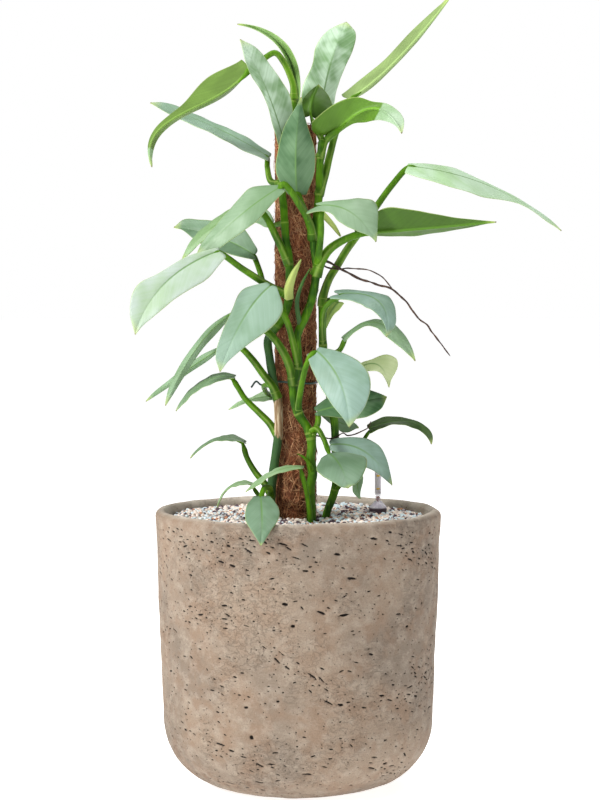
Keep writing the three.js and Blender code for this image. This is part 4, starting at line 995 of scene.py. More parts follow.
         right=(-3, -16, -8), right_half=(17, 31, 31, 6, 5), lobe=3),
    Leaf("leaf_right_underside", "stem_centre", "deep", "under", radii=(5, 3),
         stalk=[(17, -27, 497), (22, -29, 510), (30, -31, 522), (43, -31, 531)],
         base=(57, -30, 538), bow=(119, -42, 541), tip=(188, -58, 548),
         left=(0, -9, 22), left_half=(5, 23, 19, 9, 3),
         right=(1, 12, -4), right_half=(9, 12, 18, 13, 4), lobe=4),
    Leaf("leaf_low_right_wavy", "stem_right", "moss", "upper", radii=(2.4, 1.6),
         stalk=[(36.6, -12, 300), (50, -8, 317), (61, -6, 332)],
         base=(71, -6, 348), bow=(90, 1, 358), droop=(132, 7, 360), tip=(132, 14, 331),
         left=(-2, 10, 6), left_end=(8, 8, 2), left_half=(8, 14, 6, 4, 4),
         right=(2, -12, -4), right_end=(-8, -6, -2), right_half=(8, 12, 10, 9, 5), lobe=4, wave=1.4),
    Leaf("leaf_low_right_broad", "stem_right", "sea", "upper", radii=(2.8, 2.4),
         stalk=[(36.2, -12, 330), (35, -21, 332)],
         base=(33, -28, 334), bow=(69, -36, 339), tip=(91, -34, 295),
         left=(-7, -3, -15), left_half=(5, 11, 14, 9, 4),
         right=(5, 8, 9), right_half=(7, 10, 15, 15, 7)),
    Leaf("leaf_low_heart", "stem_centre", "slate", "upper", radii=(2.8, 2.2),
         stalk=[(11, -30.5, 346), (18, -38, 350), (24, -45, 342)],
         base=(30, -50, 327), bow=(42, -80, 321), tip=(47, -94, 298),
         left=(-12, -6, -8), left_half=(10, 22, 20, 14, 7),
         right=(20, 2, 1), right_half=(13, 28, 26, 19, 10), lobe=3),
    Leaf("leaf_low_spur", "stem_right", "grey", "upper", radii=(2.2, 1.6),
         stalk=[(36.6, -12, 288), (47, -26, 300)],
         base=(57, -39, 303), bow=(56, -43, 292), tip=(60, -45, 283),
         left=(-5, -2, -4), left_half=(3, 6, 6, 4, 2),
         right=(6, 2, 5), right_half=(4, 8, 7, 3, 1), lobe=2),
    Leaf("leaf_low_back_pale", "stem_right", "grey", "upper", radii=(2.4, 1.8),
         stalk=[(34, -13, 362), (30, -6, 366)],
         base=(26, 3, 360), bow=(45, 6, 350), tip=(60, 8, 348),
         left=(0, 5, 7), left_half=(5, 6, 8, 7, 4),
         right=(0, -5, -7), right_half=(2, 7, 10, 7, 2), lobe=4),
    Leaf("leaf_lower_left_arched", "stem_left", "grey", "upper", radii=(3.4, 2.4),
         stalk=[(-26.4, -16, 284), (-33, -16, 295), (-42, -14, 306), (-50, -12, 320)],
         base=(-54, -12, 336), bow=(-80, -14, 348), tip=(-104, -40, 322),
         left=(0, 16, 2), left_half=(8, 14, 12, 9, 5),
         right=(0, -15, -2), right_half=(6, 12, 11, 8, 5)),
    Leaf("leaf_low_centre_narrow", "stem_centre", "sage", "upper", radii=(2.8, 2.2),
         stalk=[(12.7, -30, 232), (12.5, -44, 244), (12, -54, 264), (8, -56, 291), (4, -57, 306)],
         base=(2, -58, 315), bow=(-25, -68, 317), tip=(-50, -68, 292),
         left=(-2, -12, -5), left_half=(3, 7, 9, 12, 5),
         right=(2, 14, 3), right_half=(3, 6, 10, 14, 6)),
    Leaf("leaf_over_rim", "stem_left", "slate", "upper", radii=(3, 2.4),
         stalk=[(-26.5, -16, 282), (-27, -40, 292), (-32, -70, 296)],
         base=(-35, -96, 290), bow=(-32, -147, 273), tip=(-34, -150, 251),
         left=(-15, 0, -1), left_half=(7, 14, 15, 9, 3),
         right=(13, 0, -1), right_half=(9, 16, 15, 8, 3), lobe=3),
    Leaf("leaf_over_granules", "stem_left", "sage", "upper", radii=(2.4, 1.8),
         stalk=[(-26.5, -16, 274), (-36, -28, 282), (-42, -35, 291)],
         base=(-44, -38, 297), bow=(-69, -46, 304), tip=(-78, -50, 275),
         left=(0, 12, 1), left_half=(4, 8, 8, 6, 3),
         right=(0, -12, -2), right_half=(4, 8, 8, 6, 3), lobe=5),
    Leaf("leaf_right_pale", "stem_right", "straw", "upper", radii=(2.8, 2),
         stalk=[(27, -17, 400), (44, -6, 396), (56, 3, 399)],
         base=(64, 8, 409), bow=(85, 16, 418), tip=(91, 40, 386),
         left=(2, 6, 9), left_end=(12, 6, 3), left_half=(5, 6, 17, 19, 4),
         right=(-3, -6, -9), right_end=(-10, -6, 2), right_half=(6, 11, 12, 5, 2)),
]
SHEATHS = [
    ("stem_left", "pale", [(-9, -30, 476), (-9, -35, 484), (-5, -37, 497), (3, -38, 513)], (5.2, 1.4)),
    ("stem_centre", "pale", [(19, -25, 561), (26, -26, 554), (34, -25, 545), (41, -24, 535)], (3.4, 2.2)),
    ("stem_centre", "fresh", [(13, -31, 306), (12, -37, 314), (6, -38, 322), (-1, -38, 326)], (2.6, 1)),
    ("stem_centre", "old", [(2, -31, 448), (-1, -37, 472), (4, -36, 490), (12, -34, 505)], (2.8, 1)),
]
AERIAL_ROOTS = {
    "aerial_roots_long": [
        ([(20, -25, 510), (27, -24, 511), (36, -24, 507), (50, -25, 499), (60, -25, 494),
          (69, -26, 491), (79, -26, 488), (91, -27, 484), (96, -28, 480), (105, -30, 471),
          (109, -31, 465), (117, -32, 456), (125, -33, 449), (129, -33, 443), (138, -34, 431),
          (146, -35, 420)], (1.7, 1)),
        ([(21, -24, 510), (29, -23, 505), (39, -22, 503), (48, -23, 505), (60, -24, 503),
          (72, -25, 501), (78, -25, 498), (84, -26, 493), (91, -27, 485)], (1.1, 0.8)),
    ],
    "aerial_root_low": [
        ([(14, -28, 344), (24, -22, 341), (36, -20, 340), (44, -20, 345), (48, -20, 342),
          (60, -20, 345), (68, -19, 350), (71, -18, 357)], (1.1, 0.8)),
    ],
}

# Several tones, such as pale, mint, grey and slate, are lighter or darker copies of one another, set to how
# brightly their leaves are lit: partly painted light and shade, partly the leaves' own colour.
LEAF_SHADES = {  # silver, shade and underside, and the size of the clouds where they aren't large
    "dew": ((140, 166, 148), (116, 145, 119), (96, 136, 42)),
    "celadon": ((171, 184, 177), (147, 170, 139), (104, 144, 44)),
    "pale": ((184, 209, 182), (159, 193, 143), (104, 144, 44)),
    "marbled": ((190, 214, 190), (106, 144, 92), (110, 148, 50), 21),
    "mint": ((129, 155, 125), (108, 137, 101), (96, 136, 42)),
    "sea": ((131, 157, 145), (108, 136, 116), (92, 130, 44)),
    "slate": ((112, 139, 114), (87, 116, 86), (84, 120, 40)),
    "grey": ((128, 156, 124), (102, 132, 94), (88, 126, 40)),
    "spear": ((98, 130, 94), (50, 88, 48), (74, 112, 32), 24),
    "fresh": ((146, 178, 118), (108, 146, 72), (88, 128, 30)),
    "lush": ((159, 184, 153), (134, 164, 123), (79, 118, 26)),
    "deep": ((84, 118, 44), (60, 92, 20), (54, 87, 10)),
    "sage": ((144, 172, 132), (112, 144, 96), (116, 138, 84)),
    "lime": ((176, 198, 122), (150, 178, 88), (142, 172, 78)),
    "straw": ((186, 200, 150), (162, 180, 124), (142, 166, 92)),
    "moss": ((72, 98, 50), (46, 70, 28), (60, 92, 30)),
    "olive": ((150, 178, 140), (124, 156, 110), (84, 110, 46)),
}
BLADE_VALUES = ("reach", "aside", "edge", "upper", "part")
BLADE_HALF = 0.35  # half the thickness of a blade
BLADE_COLUMNS = 36
BLADE_ROWS = (22, 66)
ROW_STEP = 1.7
ROW_CROWDING = 0.92  # below 1 the rows lie closer together towards the tip
STATIONS = np.array([0, 0.2, 0.45, 0.7, 0.9, 1])  # along a blade, where its half widths are given
TIP_HALF = 0.45
LOBE_REACH = 0.35  # share of a blade that its base lobes draw on
LOBE_ROUND = 0.4
LOBE_SHARE = 0.09  # how far a lobe reaches back where its leaf gives nothing else, of the blade's length
FLAT_FROM = 0.94  # share of a blade where a folded one starts to open flat, up to its tip
WAVE_LAG = 1.9  # of the right margin behind the left one
RIPPLE = 0.35  # height of the small waves along a margin
UNDULATION = 0.45  # height of the soft swells over a blade
SWELL = (17, 70)  # their size and seed
QUILT = 0.05  # height of the skin between two side veins
FULL_AT = 4  # how far from the midrib the skin and the swells reach their height
GROOVE = (0.22, 1.1)  # depth and half width of the groove over the midrib
RIB = (1.5, 1.7)  # height and half width of the midrib under the blade, at its base
RIB_LOSS = (1.1, 1.0)  # what both have lost at its tip
CAMERA_AT = np.array([0, -2000, 485.5])


# Blades
def smooth(share):
    return share * share * (3 - 2 * share)


def blade_length(leaf):
    return np.linalg.norm(np.array(leaf.tip, float) - leaf.base)


def half_width(t, half):
    """Widths of one half of a blade at rows t, from those at the stations."""
    widths = np.array([*half, TIP_HALF])
    last = len(STATIONS) - 1
    ahead = np.minimum(np.arange(last + 1) + 1, last)
    behind = np.maximum(np.arange(last + 1) - 1, 0)
    slope = (widths[ahead] - widths[behind]) / (STATIONS[ahead] - STATIONS[behind])
    i = np.minimum(np.searchsorted(STATIONS, t, side="right") - 1, last - 1)
    step = STATIONS[i + 1] - STATIONS[i]
    s = (t - STATIONS[i]) / step
    between = widths[i] * (1 - smooth(s)) + widths[i + 1] * smooth(s)
    return np.maximum(between + step * s * (1 - s) * ((1 - s) * slope[i] - s * slope[i + 1]), TIP_HALF)


def midrib(leaf, t):
    """Points and directions of the midrib."""
    base, bow, tip = (np.array(point, float) for point in (leaf.base, leaf.bow, leaf.tip))
    if leaf.droop:
        droop = np.array(leaf.droop, float)
        place = base * (1 - t) ** 3 + 3 * bow * t * (1 - t) ** 2 + 3 * droop * t**2 * (1 - t) + tip * t**3
        slope = 3 * ((bow - base) * (1 - t) ** 2 + 2 * (droop - bow) * t * (1 - t) + (tip - droop) * t**2)
    else:
        place = base * (1 - t) ** 2 + 2 * bow * t * (1 - t) + tip * t**2
        slope = 2 * ((bow - base) * (1 - t) + (tip - bow) * t)
    return place, unit(slope)


def blade_surface(leaf, t, u):
    """The blade's middle surface at rows t by columns u, and how far each point lies along and beside the
    midrib."""
    t, u = t[:, None, None], u[None, :, None]
    place, along = midrib(leaf, t)
    left, right = (unit(start) + (unit(end or start) - unit(start)) * t
                   for start, end in ((leaf.left, leaf.left_end), (leaf.right, leaf.right_end)))
    across = right - left
    flat = smooth(np.clip((t - FLAT_FROM) / (1 - FLAT_FROM), 0, 1))
    left, right = left + (-across / 2 - left) * flat, right + (across / 2 - right) * flat
    normal = unit(np.cross(along, across))

    out, on_left = np.abs(u), u < 0
    side = unit(np.where(on_left, left, right))
    width = np.where(on_left, half_width(t, leaf.left_half), half_width(t, leaf.right_half))
    share = width / np.where(on_left, max(leaf.left_half), max(leaf.right_half))
    length = blade_length(leaf)
    lobe = LOBE_SHARE * length if leaf.lobe is None else leaf.lobe
    back = np.maximum(0, 1 - t / LOBE_REACH) ** 2 * lobe * np.sqrt(out) * (1 - LOBE_ROUND * out**3)
    bulge = leaf.bulge * width * out * (1 - out)
    wave = leaf.wave * share * out**2 * np.sin(2 * np.pi * leaf.waves * t + np.where(on_left, 0, WAVE_LAG))
    phase = np.where(on_left, 0.3, 0.8)
    own = len(leaf.name) + leaf.base[2]
    ripple = RIPPLE * share * out**4 * np.sin(2 * np.pi * (leaf.waves * 3.3 * t + phase) + own)
    place = place + side * out * width - along * back + normal * (bulge + wave + ripple)
    return place, t * length - back, u * width


def blade_normal(place):
    """The blade's normal at each point, from those of the strips on both its sides, which evens a fold."""
    along = np.gradient(place, axis=0)
    ahead = np.diff(place, axis=1)
    right = unit(np.cross(along[:, :-1], ahead))
    left = unit(np.cross(along[:, 1:], ahead))
    return unit(np.pad(right, ((0, 0), (0, 1), (0, 0))) + np.pad(left, ((0, 0), (1, 0), (0, 0))))


def upper_side(leaf, place, normal):
    """1 where the normals point out of the leaf's upper face, otherwise -1."""
    rows, columns = normal.shape[:2]
    middle = slice(rows // 5, 4 * rows // 5), slice(columns // 9, columns - columns // 9)
    looks = (normal * (CAMERA_AT - place)).sum(-1)[middle].mean()
    return 1 if (looks > 0) == (leaf.shows == "upper") else -1


def blade_relief(leaf, place, t, out, reach, aside):
    """How far the upper and the lower face lie from the middle surface, and the swell of both."""
    course = reach - VEIN_SWEEP * np.abs(aside) - VEIN_CURL * aside**2
    quilt = 0.5 - 0.5 * np.cos(2 * np.pi * course / VEIN_PITCH)
    fullness = np.clip(np.abs(aside) / FULL_AT, 0, 1) * (1 - out**4)
    rib = (RIB[0] - RIB_LOSS[0] * t) * bell(aside, RIB[1] - RIB_LOSS[1] * t)
    body = BLADE_HALF * (0.3 + 0.7 * np.clip((1 - out) * 9, 0, 1))
    relief = QUILT * quilt * fullness - GROOVE[0] * bell(aside, GROOVE[1])
    swell = UNDULATION * fullness * wobble(place + 10 * len(leaf.name), *SWELL)
    return body + relief, body - relief * 0.8 + rib, swell


def blade(leaf):
    rows = int(np.clip(blade_length(leaf) / ROW_STEP, *BLADE_ROWS))
    t = np.linspace(0, 1, rows + 1) ** ROW_CROWDING
    evenly = np.linspace(-1, 1, BLADE_COLUMNS + 1)
    u = np.sign(evenly) * (0.3 * np.abs(evenly) ** 2.6 + 0.7 * np.abs(evenly) ** 1.15)
    place, reach, aside = blade_surface(leaf, t, u)
    normal = blade_normal(place)
    sign = upper_side(leaf, place, normal)
    reach, aside = reach[..., 0], aside[..., 0]
    part, out = np.broadcast_arrays(t[:, None], np.abs(u))
    upper, lower, swell = blade_relief(leaf, place, part, out, reach, aside)
    faces = [place + normal * height[..., None] for height in (swell + sign * upper, swell - sign * lower)]
    shown = np.array([1.0, 0.0])

    columns = BLADE_COLUMNS + 1
    size = (rows + 1) * columns
    rim = [i * columns for i in range(rows, 0, -1)] + list(range(BLADE_COLUMNS))
    rim += [i * columns + BLADE_COLUMNS for i in range(rows)]
    rim += [rows * columns + j for j in range(BLADE_COLUMNS, 0, -1)]
    rim = np.array(rim)
    after = np.roll(rim, -1)
    turned_over = np.clip((part - leaf.turn) / 0.06, 0, 1).ravel()
    form = Form(*BLADE_VALUES)
    form.add(np.stack(faces[::sign]),
             [grid_faces(rows + 1, columns, flip=True), grid_faces(rows + 1, columns) + size,
              np.stack([rim, after, after + size, rim + size], -1)],
             upper=np.concatenate([face + (1 - 2 * face) * turned_over for face in shown[::sign]]),
             **{name: np.tile(value.ravel(), 2)
                for name, value in (("reach", reach), ("aside", aside), ("edge", out), ("part", part))})
    form.piece(leaf.name + "_blade", leaf_finishes[leaf.tone], leaf_slot(leaf), leaf.name)


def leaf_slot(leaf):
    if leaf.tone in ("lime", "straw"):
        return "leaf_young"
    return "leaf_green" if leaf.shows == "under" or leaf.tone == "moss" else "leaf_silver"


# Stems, with their leaf stalks and sheaths
STEM_SIDES = 20
STEM_STEP = 2.2
STEM_END = (0.92, 0.75, 0.4)  # how its last rings narrow
RIBS = (5, 0.025)  # how many run up a stem, and their height as a share of its radius
NODE_SWELL = 0.1
NODE_LENGTH = 2.6
STALK_SIDES = 16
STALK_STEP = 1.8
SHEATH_STEP = 1.5
STALK_DROP = 0.8  # how far below the blade a stalk's end runs, in its own radii
STALK_FADE = 13  # the length over which it thins out under the midrib
STALK_ROOT = 8  # how far down the stem the stalk at its top starts
STALK_FOOT = (0.22, 9)  # swelling and length of the foot that clasps the stem
STALK_JOINT = (0.1, 4.5)  # the same of the joint below the blade
STALK_GROOVE = 0.16
STALK_WING = 0.12
DRY_STRETCH = (335, 385)  # heights of the dry length of the left stem
DRY_FADE = 14  # height over which the dry skin sets in
OLD_TOP = 452  # below it that stem is dark and bluish


def stem(name):
    line = smooth_line(STEMS[name]["path"], STEM_STEP)
    grown = [leaf for leaf in LEAVES if leaf.stem == name]
    low, high = STEMS[name]["radii"]
    radius = low + (high - low) * np.linspace(0, 1, len(line))
    ring = np.zeros(len(line))
    for leaf in grown:
        apart = np.linalg.norm(line - np.array(leaf.stalk[0], float), axis=1)
        ring = np.maximum(ring, bell(apart, NODE_LENGTH))
    radius = radius * (1 + NODE_SWELL * ring) * (1 + 0.04 * wobble(line, 14, len(name)))
    radius[-3:] *= STEM_END
    values = {"ring": ring}
    if name == "stem_left":
        height = line[:, 2]
        values["old"] = np.clip((OLD_TOP - height) / 12, 0, 1)
        inward = (height - DRY_STRETCH[0], DRY_STRETCH[1] - height)
        values["dry"] = math.prod(np.clip(gap / DRY_FADE, 0, 1) for gap in inward)
    form = Form("fresh", "ring", "old", "dry", "pale")
    ribbed = 1 + RIBS[1] * np.cos(RIBS[0] * round_turn(STEM_SIDES))
    tube(form, line, radius[:, None] * ribbed, STEM_SIDES, **values)
    for leaf in grown:
        stalk(form, leaf)
    for owner, shade, path, radii in SHEATHS:
        if owner == name:
            sheath(form, shade, path, radii)
    form.piece(name + "_living", stem_finish, "stem_flesh", name)


def from_top():
    """How far round from the top each corner of a stalk's ring lies, on either side."""
    turn = round_turn(STALK_SIDES)
    return np.minimum(turn, 2 * np.pi - turn)


def stalk(form, leaf):
    """A leaf stalk: swollen where it clasps the stem, grooved along its top, with a joint below the blade."""
    place, _, _ = blade_surface(leaf, np.linspace(0, 1, 21), np.linspace(-1, 1, 9))
    normal = blade_normal(place)
    thick, thin = leaf.radii
    below = normal * upper_side(leaf, place, normal) * -thin * STALK_DROP
    path = np.array(STEMS[leaf.stem]["path"], float)
    grows_on = tuple(path[-1]) == leaf.stalk[0]
    root = [path[-1] + unit(path[-2] - path[-1]) * STALK_ROOT] if grows_on else []
    line = smooth_line([*root, *leaf.stalk, *(place + below)[:3, 4]], STALK_STEP)
    run = run_along(line)
    part, to_go = run / run[-1], run[-1] - run
    radius = (thick + (thin - thick) * part**0.8) * (1 + STALK_FOOT[0] * bell(run, STALK_FOOT[1]))
    radius = radius * (1 + STALK_JOINT[0] * bell(to_go - STALK_FADE, STALK_JOINT[1]))
    radius = radius * np.clip(0.25 + 0.75 * to_go / STALK_FADE, 0, 1)
    groove = STALK_GROOVE * bell(from_top(), 0.42)
    wings = STALK_WING * bell(from_top() - 0.75, 0.3)
    open_part = np.exp(-((part / 0.55) ** 4))[:, None]
    shape = 1 - groove * 0.8 + wings * open_part
    ring = 0.9 * bell(run - thick * 1.7, 1.6) + 0.4 * bell(to_go - STALK_FADE - 6, 2)
    tube(form, line, radius[:, None] * shape, STALK_SIDES, towards=(0, -0.45, 1), fresh=0.15 + 0.85 * part**2,
         ring=ring, pale=wings / STALK_WING * open_part * 0.3)


def sheath(form, shade, path, radii):
    """An old sheath: a folded tapering blade that opens along one side."""
    line = smooth_line(path, SHEATH_STEP)
    part = np.linspace(0, 1, len(line))
    radius = (radii[0] + (radii[1] - radii[0]) * part**1.6) * (1 - 0.6 * part**6)
    folded = 1 - 0.45 * bell(from_top(), 0.5) + 0.14 * np.cos(2 * round_turn(STALK_SIDES))
    tube(form, line, radius[:, None] * folded, STALK_SIDES, **{shade: 1 - 0.3 * part})


# Aerial roots
ROOT_SIDES = 10
ROOT_STEP = 1.4
ROOT_END = (0.9, 0.75, 0.45)
ROOT_WANDER = (0.5, 9)  # how far a root wanders from its line, and the length of a bend
ROOT_SLIM = 0.72  # their width, as a share of the CAD model's


def aerial_root(name, branches):
    form = Form("lit")
    for number, (path, radii) in enumerate(branches):
        line = smooth_line(path, ROOT_STEP)
        bends = [wobble(line, ROOT_WANDER[1], 30 + number + axis) for axis in range(3)]
        line = line + ROOT_WANDER[0] * np.column_stack(bends)
        radius = ROOT_SLIM * (radii[0] + (radii[1] - radii[0]) * np.linspace(0, 1, len(line)))
        radius = radius * (1 + 0.14 * wobble(line, 5, 40 + number) + 0.1 * wobble(line, 2.2, 50 + number))
        radius[-3:] *= ROOT_END
        tube(form, line, radius, ROOT_SIDES, lit=0.5 + 0.4 * wobble(line, 12, 60))
    form.piece(name + "_bark", root_finish, "root_skin", name)


# Coir pole: a matted sleeve, and loose fibres laid over it
SLEEVE_SIDES = 96
SLEEVE_STEP = 2.6
SLEEVE_FROM = POLE_BOTTOM + 180  # its first fine row, below the granules' top
MAT_LUMPS = 0.55
FIBRE_KINDS = ((3300, 0.5, 0.5), (620, 3.0, 2.8))  # how many, how far their ends lift, and how far they swing
FIBRE_STEPS = 7
FIBRE_LENGTHS = (12, 42)
FIBRE_RADII = (0.2, 0.46)
FIBRE_LEAN = 0.9  # spread of their angles from upright, in radians
FIBRE_CURL = 0.5
FIBRE_BEATS = (2, 9)  # how fast they swing in and out along their length


def coir_mat():
    levels = [*np.arange(SLEEVE_FROM, POLE_TOP - 1.5, SLEEVE_STEP), POLE_TOP - 1.5]
    profile = [(0, POLE_BOTTOM), (POLE_RADIUS - 2, POLE_BOTTOM)]
    profile += [(POLE_RADIUS - 1.2, level) for level in levels]
    profile += [(POLE_RADIUS - 5, POLE_TOP + 0.5), (11, POLE_TOP + 1), (0, POLE_TOP + 1)]
    form = Form("tone")
    turned(form, profile, SLEEVE_SIDES, tone=0.2)
    points = form.points[0]
    lumps = wobble(points, 17, 1) + 1.1 * wobble(points * (1, 1, 0.6), 6, 2) + 0.9 * wobble(points, 2.8, 3)
    shown = points[:, 2] > POLE_BOTTOM + 100
    form.points[0] = points + unit(points * (1, 1, 0)) * (lumps * MAT_LUMPS * shown)[:, None] + POLE_AT
    finish = coir("coir_mat", colour(78, 42, 26), colour(190, 130, 90), colour(160, 92, 58))
    form.piece("pole_coir_mat", finish, "coir_fibre", "pole_coir", weld=True)


def coir_fibres():
    draw = np.random.default_rng(COIR_SEED)
    form = Form("tone")
    steps = np.linspace(-0.5, 0.5, FIBRE_STEPS)
    for count, lift, swing in FIBRE_KINDS:
        turn = draw.uniform(0, 2 * np.pi, count)
        height = draw.uniform(FILL_TOP - 3, POLE_TOP, count)
        length = draw.uniform(*FIBRE_LENGTHS, count)
        lean = draw.normal(0, FIBRE_LEAN, count)
        curl = draw.normal(0, FIBRE_CURL, (count, 1))
        along = steps * length[:, None]
        sideways = np.sin(lean)[:, None] * along + curl * (along / 8) ** 2
        upward = np.cos(lean)[:, None] * along
        angle = turn[:, None] + sideways / POLE_RADIUS
        level = np.minimum(height[:, None] + upward, POLE_TOP + 1.5)
        away = POLE_RADIUS - 1.4 + draw.uniform(0, 1.3, (count, 1))
        away = away + lift * (draw.uniform(-0.2, 1, (count, 1)) * steps**2 * 4)
        beat, phase = draw.uniform(*FIBRE_BEATS, (count, 1)), draw.uniform(0, 6, (count, 1))
        away = away + swing * 0.4 * np.sin(steps * beat + phase)
        lines = np.stack([away * np.cos(angle), away * np.sin(angle), level], -1) + POLE_AT
        strands(form, lines, draw.uniform(*FIBRE_RADII, count), tone=draw.uniform(0, 1, count) ** 1.3)
    finish = coir("coir_fibres", colour(130, 74, 46), colour(244, 196, 148), colour(190, 112, 70))
    form.piece("pole_coir_fibres", finish, "coir_fibre")


# Tie wire: a loop round the pole, its loose end, and two strands that are twisted together between them
LOOP_STEPS = 72
LOOP_WAVE = 0.8
WIRE_SIDES = 12
TAIL_STEP = 0.8
TAIL_RADIUS = TIE_RADIUS * 0.95
TWIST_STEPS = 40
TWIST_FROM = (-22.5, -3.6, 393.2)
TWIST_RUN = (-6.5, -1.6)  # how far it runs along X and Z
TWIST_TURNS = 2.5
TWIST_RADIUS = 1.1
STRAND_SIDES = 10
STRAND_RADIUS = 0.8


def tie_wire():
    form = Form()
    turn = round_turn(LOOP_STEPS)
    radius = POLE_RADIUS + TIE_RADIUS
    level = TIE_HEIGHT + LOOP_WAVE * np.sin(turn * 2)
    loop = np.column_stack([radius * np.cos(turn), radius * np.sin(turn), level])
    line = np.vstack([loop, loop[:2]]) + POLE_AT
    tube(form, line, np.full(len(line), TIE_RADIUS), WIRE_SIDES)
    tail = smooth_line(TIE_END, TAIL_STEP)
    tube(form, tail, np.full(len(tail), TAIL_RADIUS), WIRE_SIDES)
    twist = np.linspace(0, 1, TWIST_STEPS)
    x, y, z = TWIST_FROM
    for start in (0, np.pi):
        around = twist * 2 * TWIST_TURNS * np.pi + start
        coil = np.column_stack([x + TWIST_RUN[0] * twist, y + TWIST_RADIUS * np.cos(around),
                                z + TWIST_RUN[1] * twist + TWIST_RADIUS * np.sin(around)])
        tube(form, coil, np.full(len(coil), STRAND_RADIUS), STRAND_SIDES)
    form.piece("tie_wire_coated", plastic("tie_coating", colour(30, 58, 52), colour(58, 92, 82), 0.38),
               "tie_coating", "tie_wire")


# Water gauge: each part's profile, in radii and heights
GAUGE_SIDES = 64
GAUGE_WINDOW = 278  # below it the tube is clear, and shows the float's tip
TUBE_BOTTOM = 272.2
TUBE_RADIUS = 3.3
TUBE_BORE = 2.1
TICK_LEVELS = (284, 297)
TICK_HEIGHT = 1.6
TICK_RADII = (3.2, 3.45)  # inside and outside
TICK_SPREAD = 28  # degrees to each side of the front
TICK_STEPS = 8
TUBE_PROFILE = [(TUBE_BORE, TUBE_BOTTOM), (TUBE_RADIUS, TUBE_BOTTOM), (TUBE_RADIUS, 290),
                (TUBE_RADIUS, GAUGE_TOP - 1.6), (3.0, GAUGE_TOP - 0.6), (2.2, GAUGE_TOP), (0, GAUGE_TOP),
                (0, GAUGE_TOP - 1.4), (1.7, GAUGE_TOP - 1.5), (TUBE_BORE, GAUGE_TOP - 2.2), (TUBE_BORE, 290)]
ROD_PROFILE = [(0, GAUGE_FOOT + 6), (4.2, GAUGE_FOOT + 6), (4.6, GAUGE_FOOT + 7), (4.6, GAUGE_FOOT + 44),
               (1, GAUGE_FOOT + 48), (1, 272.6), (1.7, 273.2), (1.75, 276.2), (1.3, 276.9), (0, 276.9)]
CONE_PROFILE = [(5, 265.2), (8.2, 265.2), (8.6, 265.7), (8.5, 266.6), (5.1, 270.2), (4.4, 271.0),
                (4.2, 271.9), (2.9, 271.9), (2.9, 271.0), (4.6, 267)]
COLLAR_PROFILE = [(5, COLLAR_BOTTOM), (8.7, COLLAR_BOTTOM), (9, COLLAR_BOTTOM + 0.4), (9, 261.8),
                  (8.6, 262.1), (8.6, 262.7), (9, 263.0), (9, 264.5), (8.7, 264.9), (5, 264.9)]


def tick(form, level):
    """A small printed mark on the front of the gauge's tube."""
    turn = np.radians(np.linspace(-90 - TICK_SPREAD, -90 + TICK_SPREAD, TICK_STEPS + 1))[:, None]
    radius = np.array([*TICK_RADII, *TICK_RADII[::-1]])
    height = level + np.array([0, 0, TICK_HEIGHT, TICK_HEIGHT])
    points = np.stack([radius * np.cos(turn), radius * np.sin(turn), height + 0 * turn], -1) + GAUGE_AT
    end = np.arange(4)
    sides = grid_faces(TICK_STEPS + 1, 4, closed=True, flip=True)
    form.add(points, [sides, [end, end[::-1] + 4 * TICK_STEPS]])


def gauge_part(name, profile, finish, slot, node):
    form = Form()
    turned(form, profile, GAUGE_SIDES, GAUGE_AT, closed=profile[0][0] > 0)
    form.piece(name, finish, slot, node, weld=True)


def gauge():
    dark = plastic("dark_plastic", colour(56, 38, 52), colour(84, 66, 80), 0.34)
    red = plastic("red_plastic", colour(150, 34, 24), colour(126, 44, 34), 0.35)
    yellow = plastic("yellow_mark", colour(232, 190, 60), colour(210, 172, 70), 0.4)
    gauge_part("gauge_tube_clear", TUBE_PROFILE, clear_plastic(), "clear_plastic", "gauge_tube")
    marks = Form()
    for level in TICK_LEVELS:
        tick(marks, level)
    marks.piece("gauge_marks", yellow, "clear_plastic")
    gauge_part("gauge_float_rod", ROD_PROFILE, red, "red_plastic", "gauge_float")
    gauge_part("gauge_cone_frosted", CONE_PROFILE, frosted_plastic(), "clear_plastic", "gauge_cone")
    gauge_part("gauge_collar_ring", COLLAR_PROFILE, dark, "dark_plastic", "gauge_collar")
    dress("gauge_shaft", dark)


# Studio: a pale floor, soft lights, and the camera at the photograph's angle
CAMERA_TILT = 3.144
FOCAL_PIXELS = 2042
FRAME_SIZE = (600, 800)
AXIS_PIXEL = 298.1
SENSOR = 36
LIGHTS_AIM = Vector((0, 0, 0.35))
LIGHTS = (  # name, place and width in metres, power and colour
    ("key", (-2.2, -1.4, 2.0), 1.0, 104, (1, 0.99, 0.97)),
    ("top", (0.6, -0.3, 2.8), 1.3, 42, (1, 1, 1)),
    ("back", (0.8, 2.2, 1.4), 1.6, 8, (1, 1, 1)),
)
STUDIO_LIGHT = 0.52  # of the pale surroundings on the plant, as a share of how bright they look
OVERHEAD = ((0.16, 0.5), 0.35)  # where they darken, as the height of a direction, and to what share
FLOOR_REACH = 30
VIEW_REACH = 200


def stand(name, data):
    """Puts a light, a camera or the floor into the scene."""
    item = bpy.data.objects.new(name, data)
    bpy.context.scene.collection.objects.link(item)
    return item


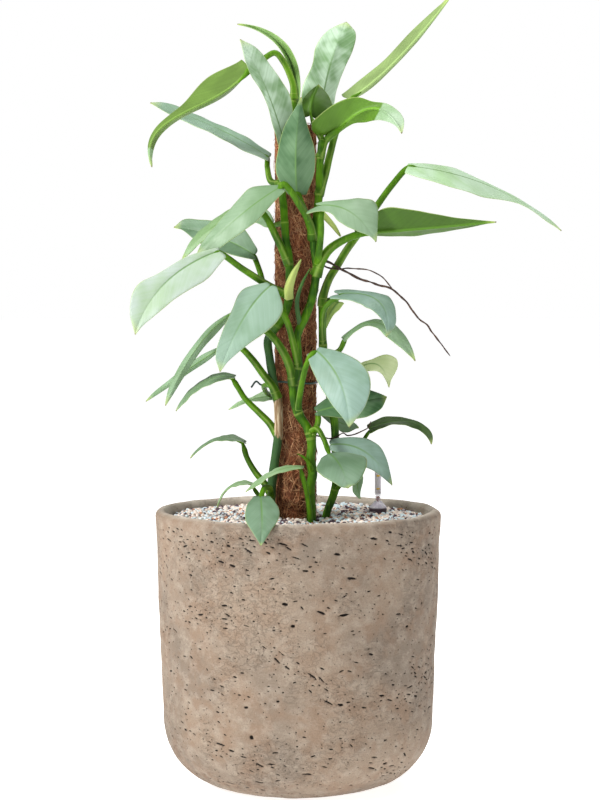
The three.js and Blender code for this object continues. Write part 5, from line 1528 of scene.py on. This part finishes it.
def lay_floor():
    mesh = bpy.data.meshes.new("floor")
    mesh.from_pydata([(FLOOR_REACH * x, FLOOR_REACH * y, 0) for x, y in ((-1, -1), (1, -1), (1, 1), (-1, 1))],
                     [], [(0, 1, 2, 3)])
    paper = Finish("floor_paper", Specular_IOR_Level=0.2, Emission_Color=(1, 1, 1, 1), Emission_Strength=0.8)
    shade = paper.noise(400, 2)
    tone = paper.blend(shade, colour(247, 247, 246), colour(250, 250, 250))
    mesh.materials.append(paper.wear(Base_Color=tone, Roughness=0.85 + shade * 0.05))
    mesh.materials[0].cycles.emission_sampling = "NONE"  # so large a light is found better by its bounces
    floor = stand("floor", mesh)


def surroundings():
    """A pale room that is white to look at and softer as a light, and darker overhead."""
    world = bpy.data.worlds.new("studio")
    world.use_nodes = True
    bpy.context.scene.world = world
    room = Nodes(world.node_tree)
    height = room.node("SeparateXYZ", {"output": "Z"}, room.node("TexCoord", {"output": "Generated"}))
    seen = room.node("LightPath", {"output": "Is Camera Ray"})
    strength = height.span(*OVERHEAD[0], 1.0, OVERHEAD[1]) * seen.span(0.0, 1.0, STUDIO_LIGHT, 1.0)
    background = world.node_tree.nodes["Background"]
    room.feed(background.inputs["Strength"], strength)
    room.feed(background.inputs["Color"], (1, 1, 1, 1))


def studio():
    lay_floor()
    surroundings()
    for name, place, size, power, warmth in LIGHTS:
        light = bpy.data.lights.new(name, "AREA")
        light.shape = "DISK"
        light.size = size
        light.energy = power
        light.color = warmth
        lamp = stand(name, light)
        lamp.location = place
        lamp.rotation_euler = (LIGHTS_AIM - Vector(place)).to_track_quat("-Z", "Y").to_euler()

    lens = bpy.data.cameras.new("camera")
    lens.sensor_width = SENSOR
    lens.lens = FOCAL_PIXELS * SENSOR / FRAME_SIZE[1]
    lens.shift_x = (FRAME_SIZE[0] / 2 - AXIS_PIXEL) / FRAME_SIZE[1]
    lens.clip_end = VIEW_REACH
    camera = stand("camera", lens)
    camera.location = CAMERA_AT * UNIT
    camera.rotation_euler = (math.radians(90 - CAMERA_TILT), 0, 0)
    bpy.context.scene.camera = camera
    bpy.context.scene.view_settings.view_transform = "Standard"


# Making it all
studio()
pot()
dress("granules", granule_bed())
granules()
dress("root_ball", soil())
coir_mat()
coir_fibres()
dress("pole_core", pole_wood())
tie_wire()
gauge()
stem_finish = stem_flesh()
root_finish = root_skin()
leaf_finishes = {name: leaf_skin(name, *shades) for name, shades in LEAF_SHADES.items()}
for name in STEMS:
    stem(name)
for name, branches in AERIAL_ROOTS.items():
    aerial_root(name, branches)
for leaf in LEAVES:
    blade(leaf)
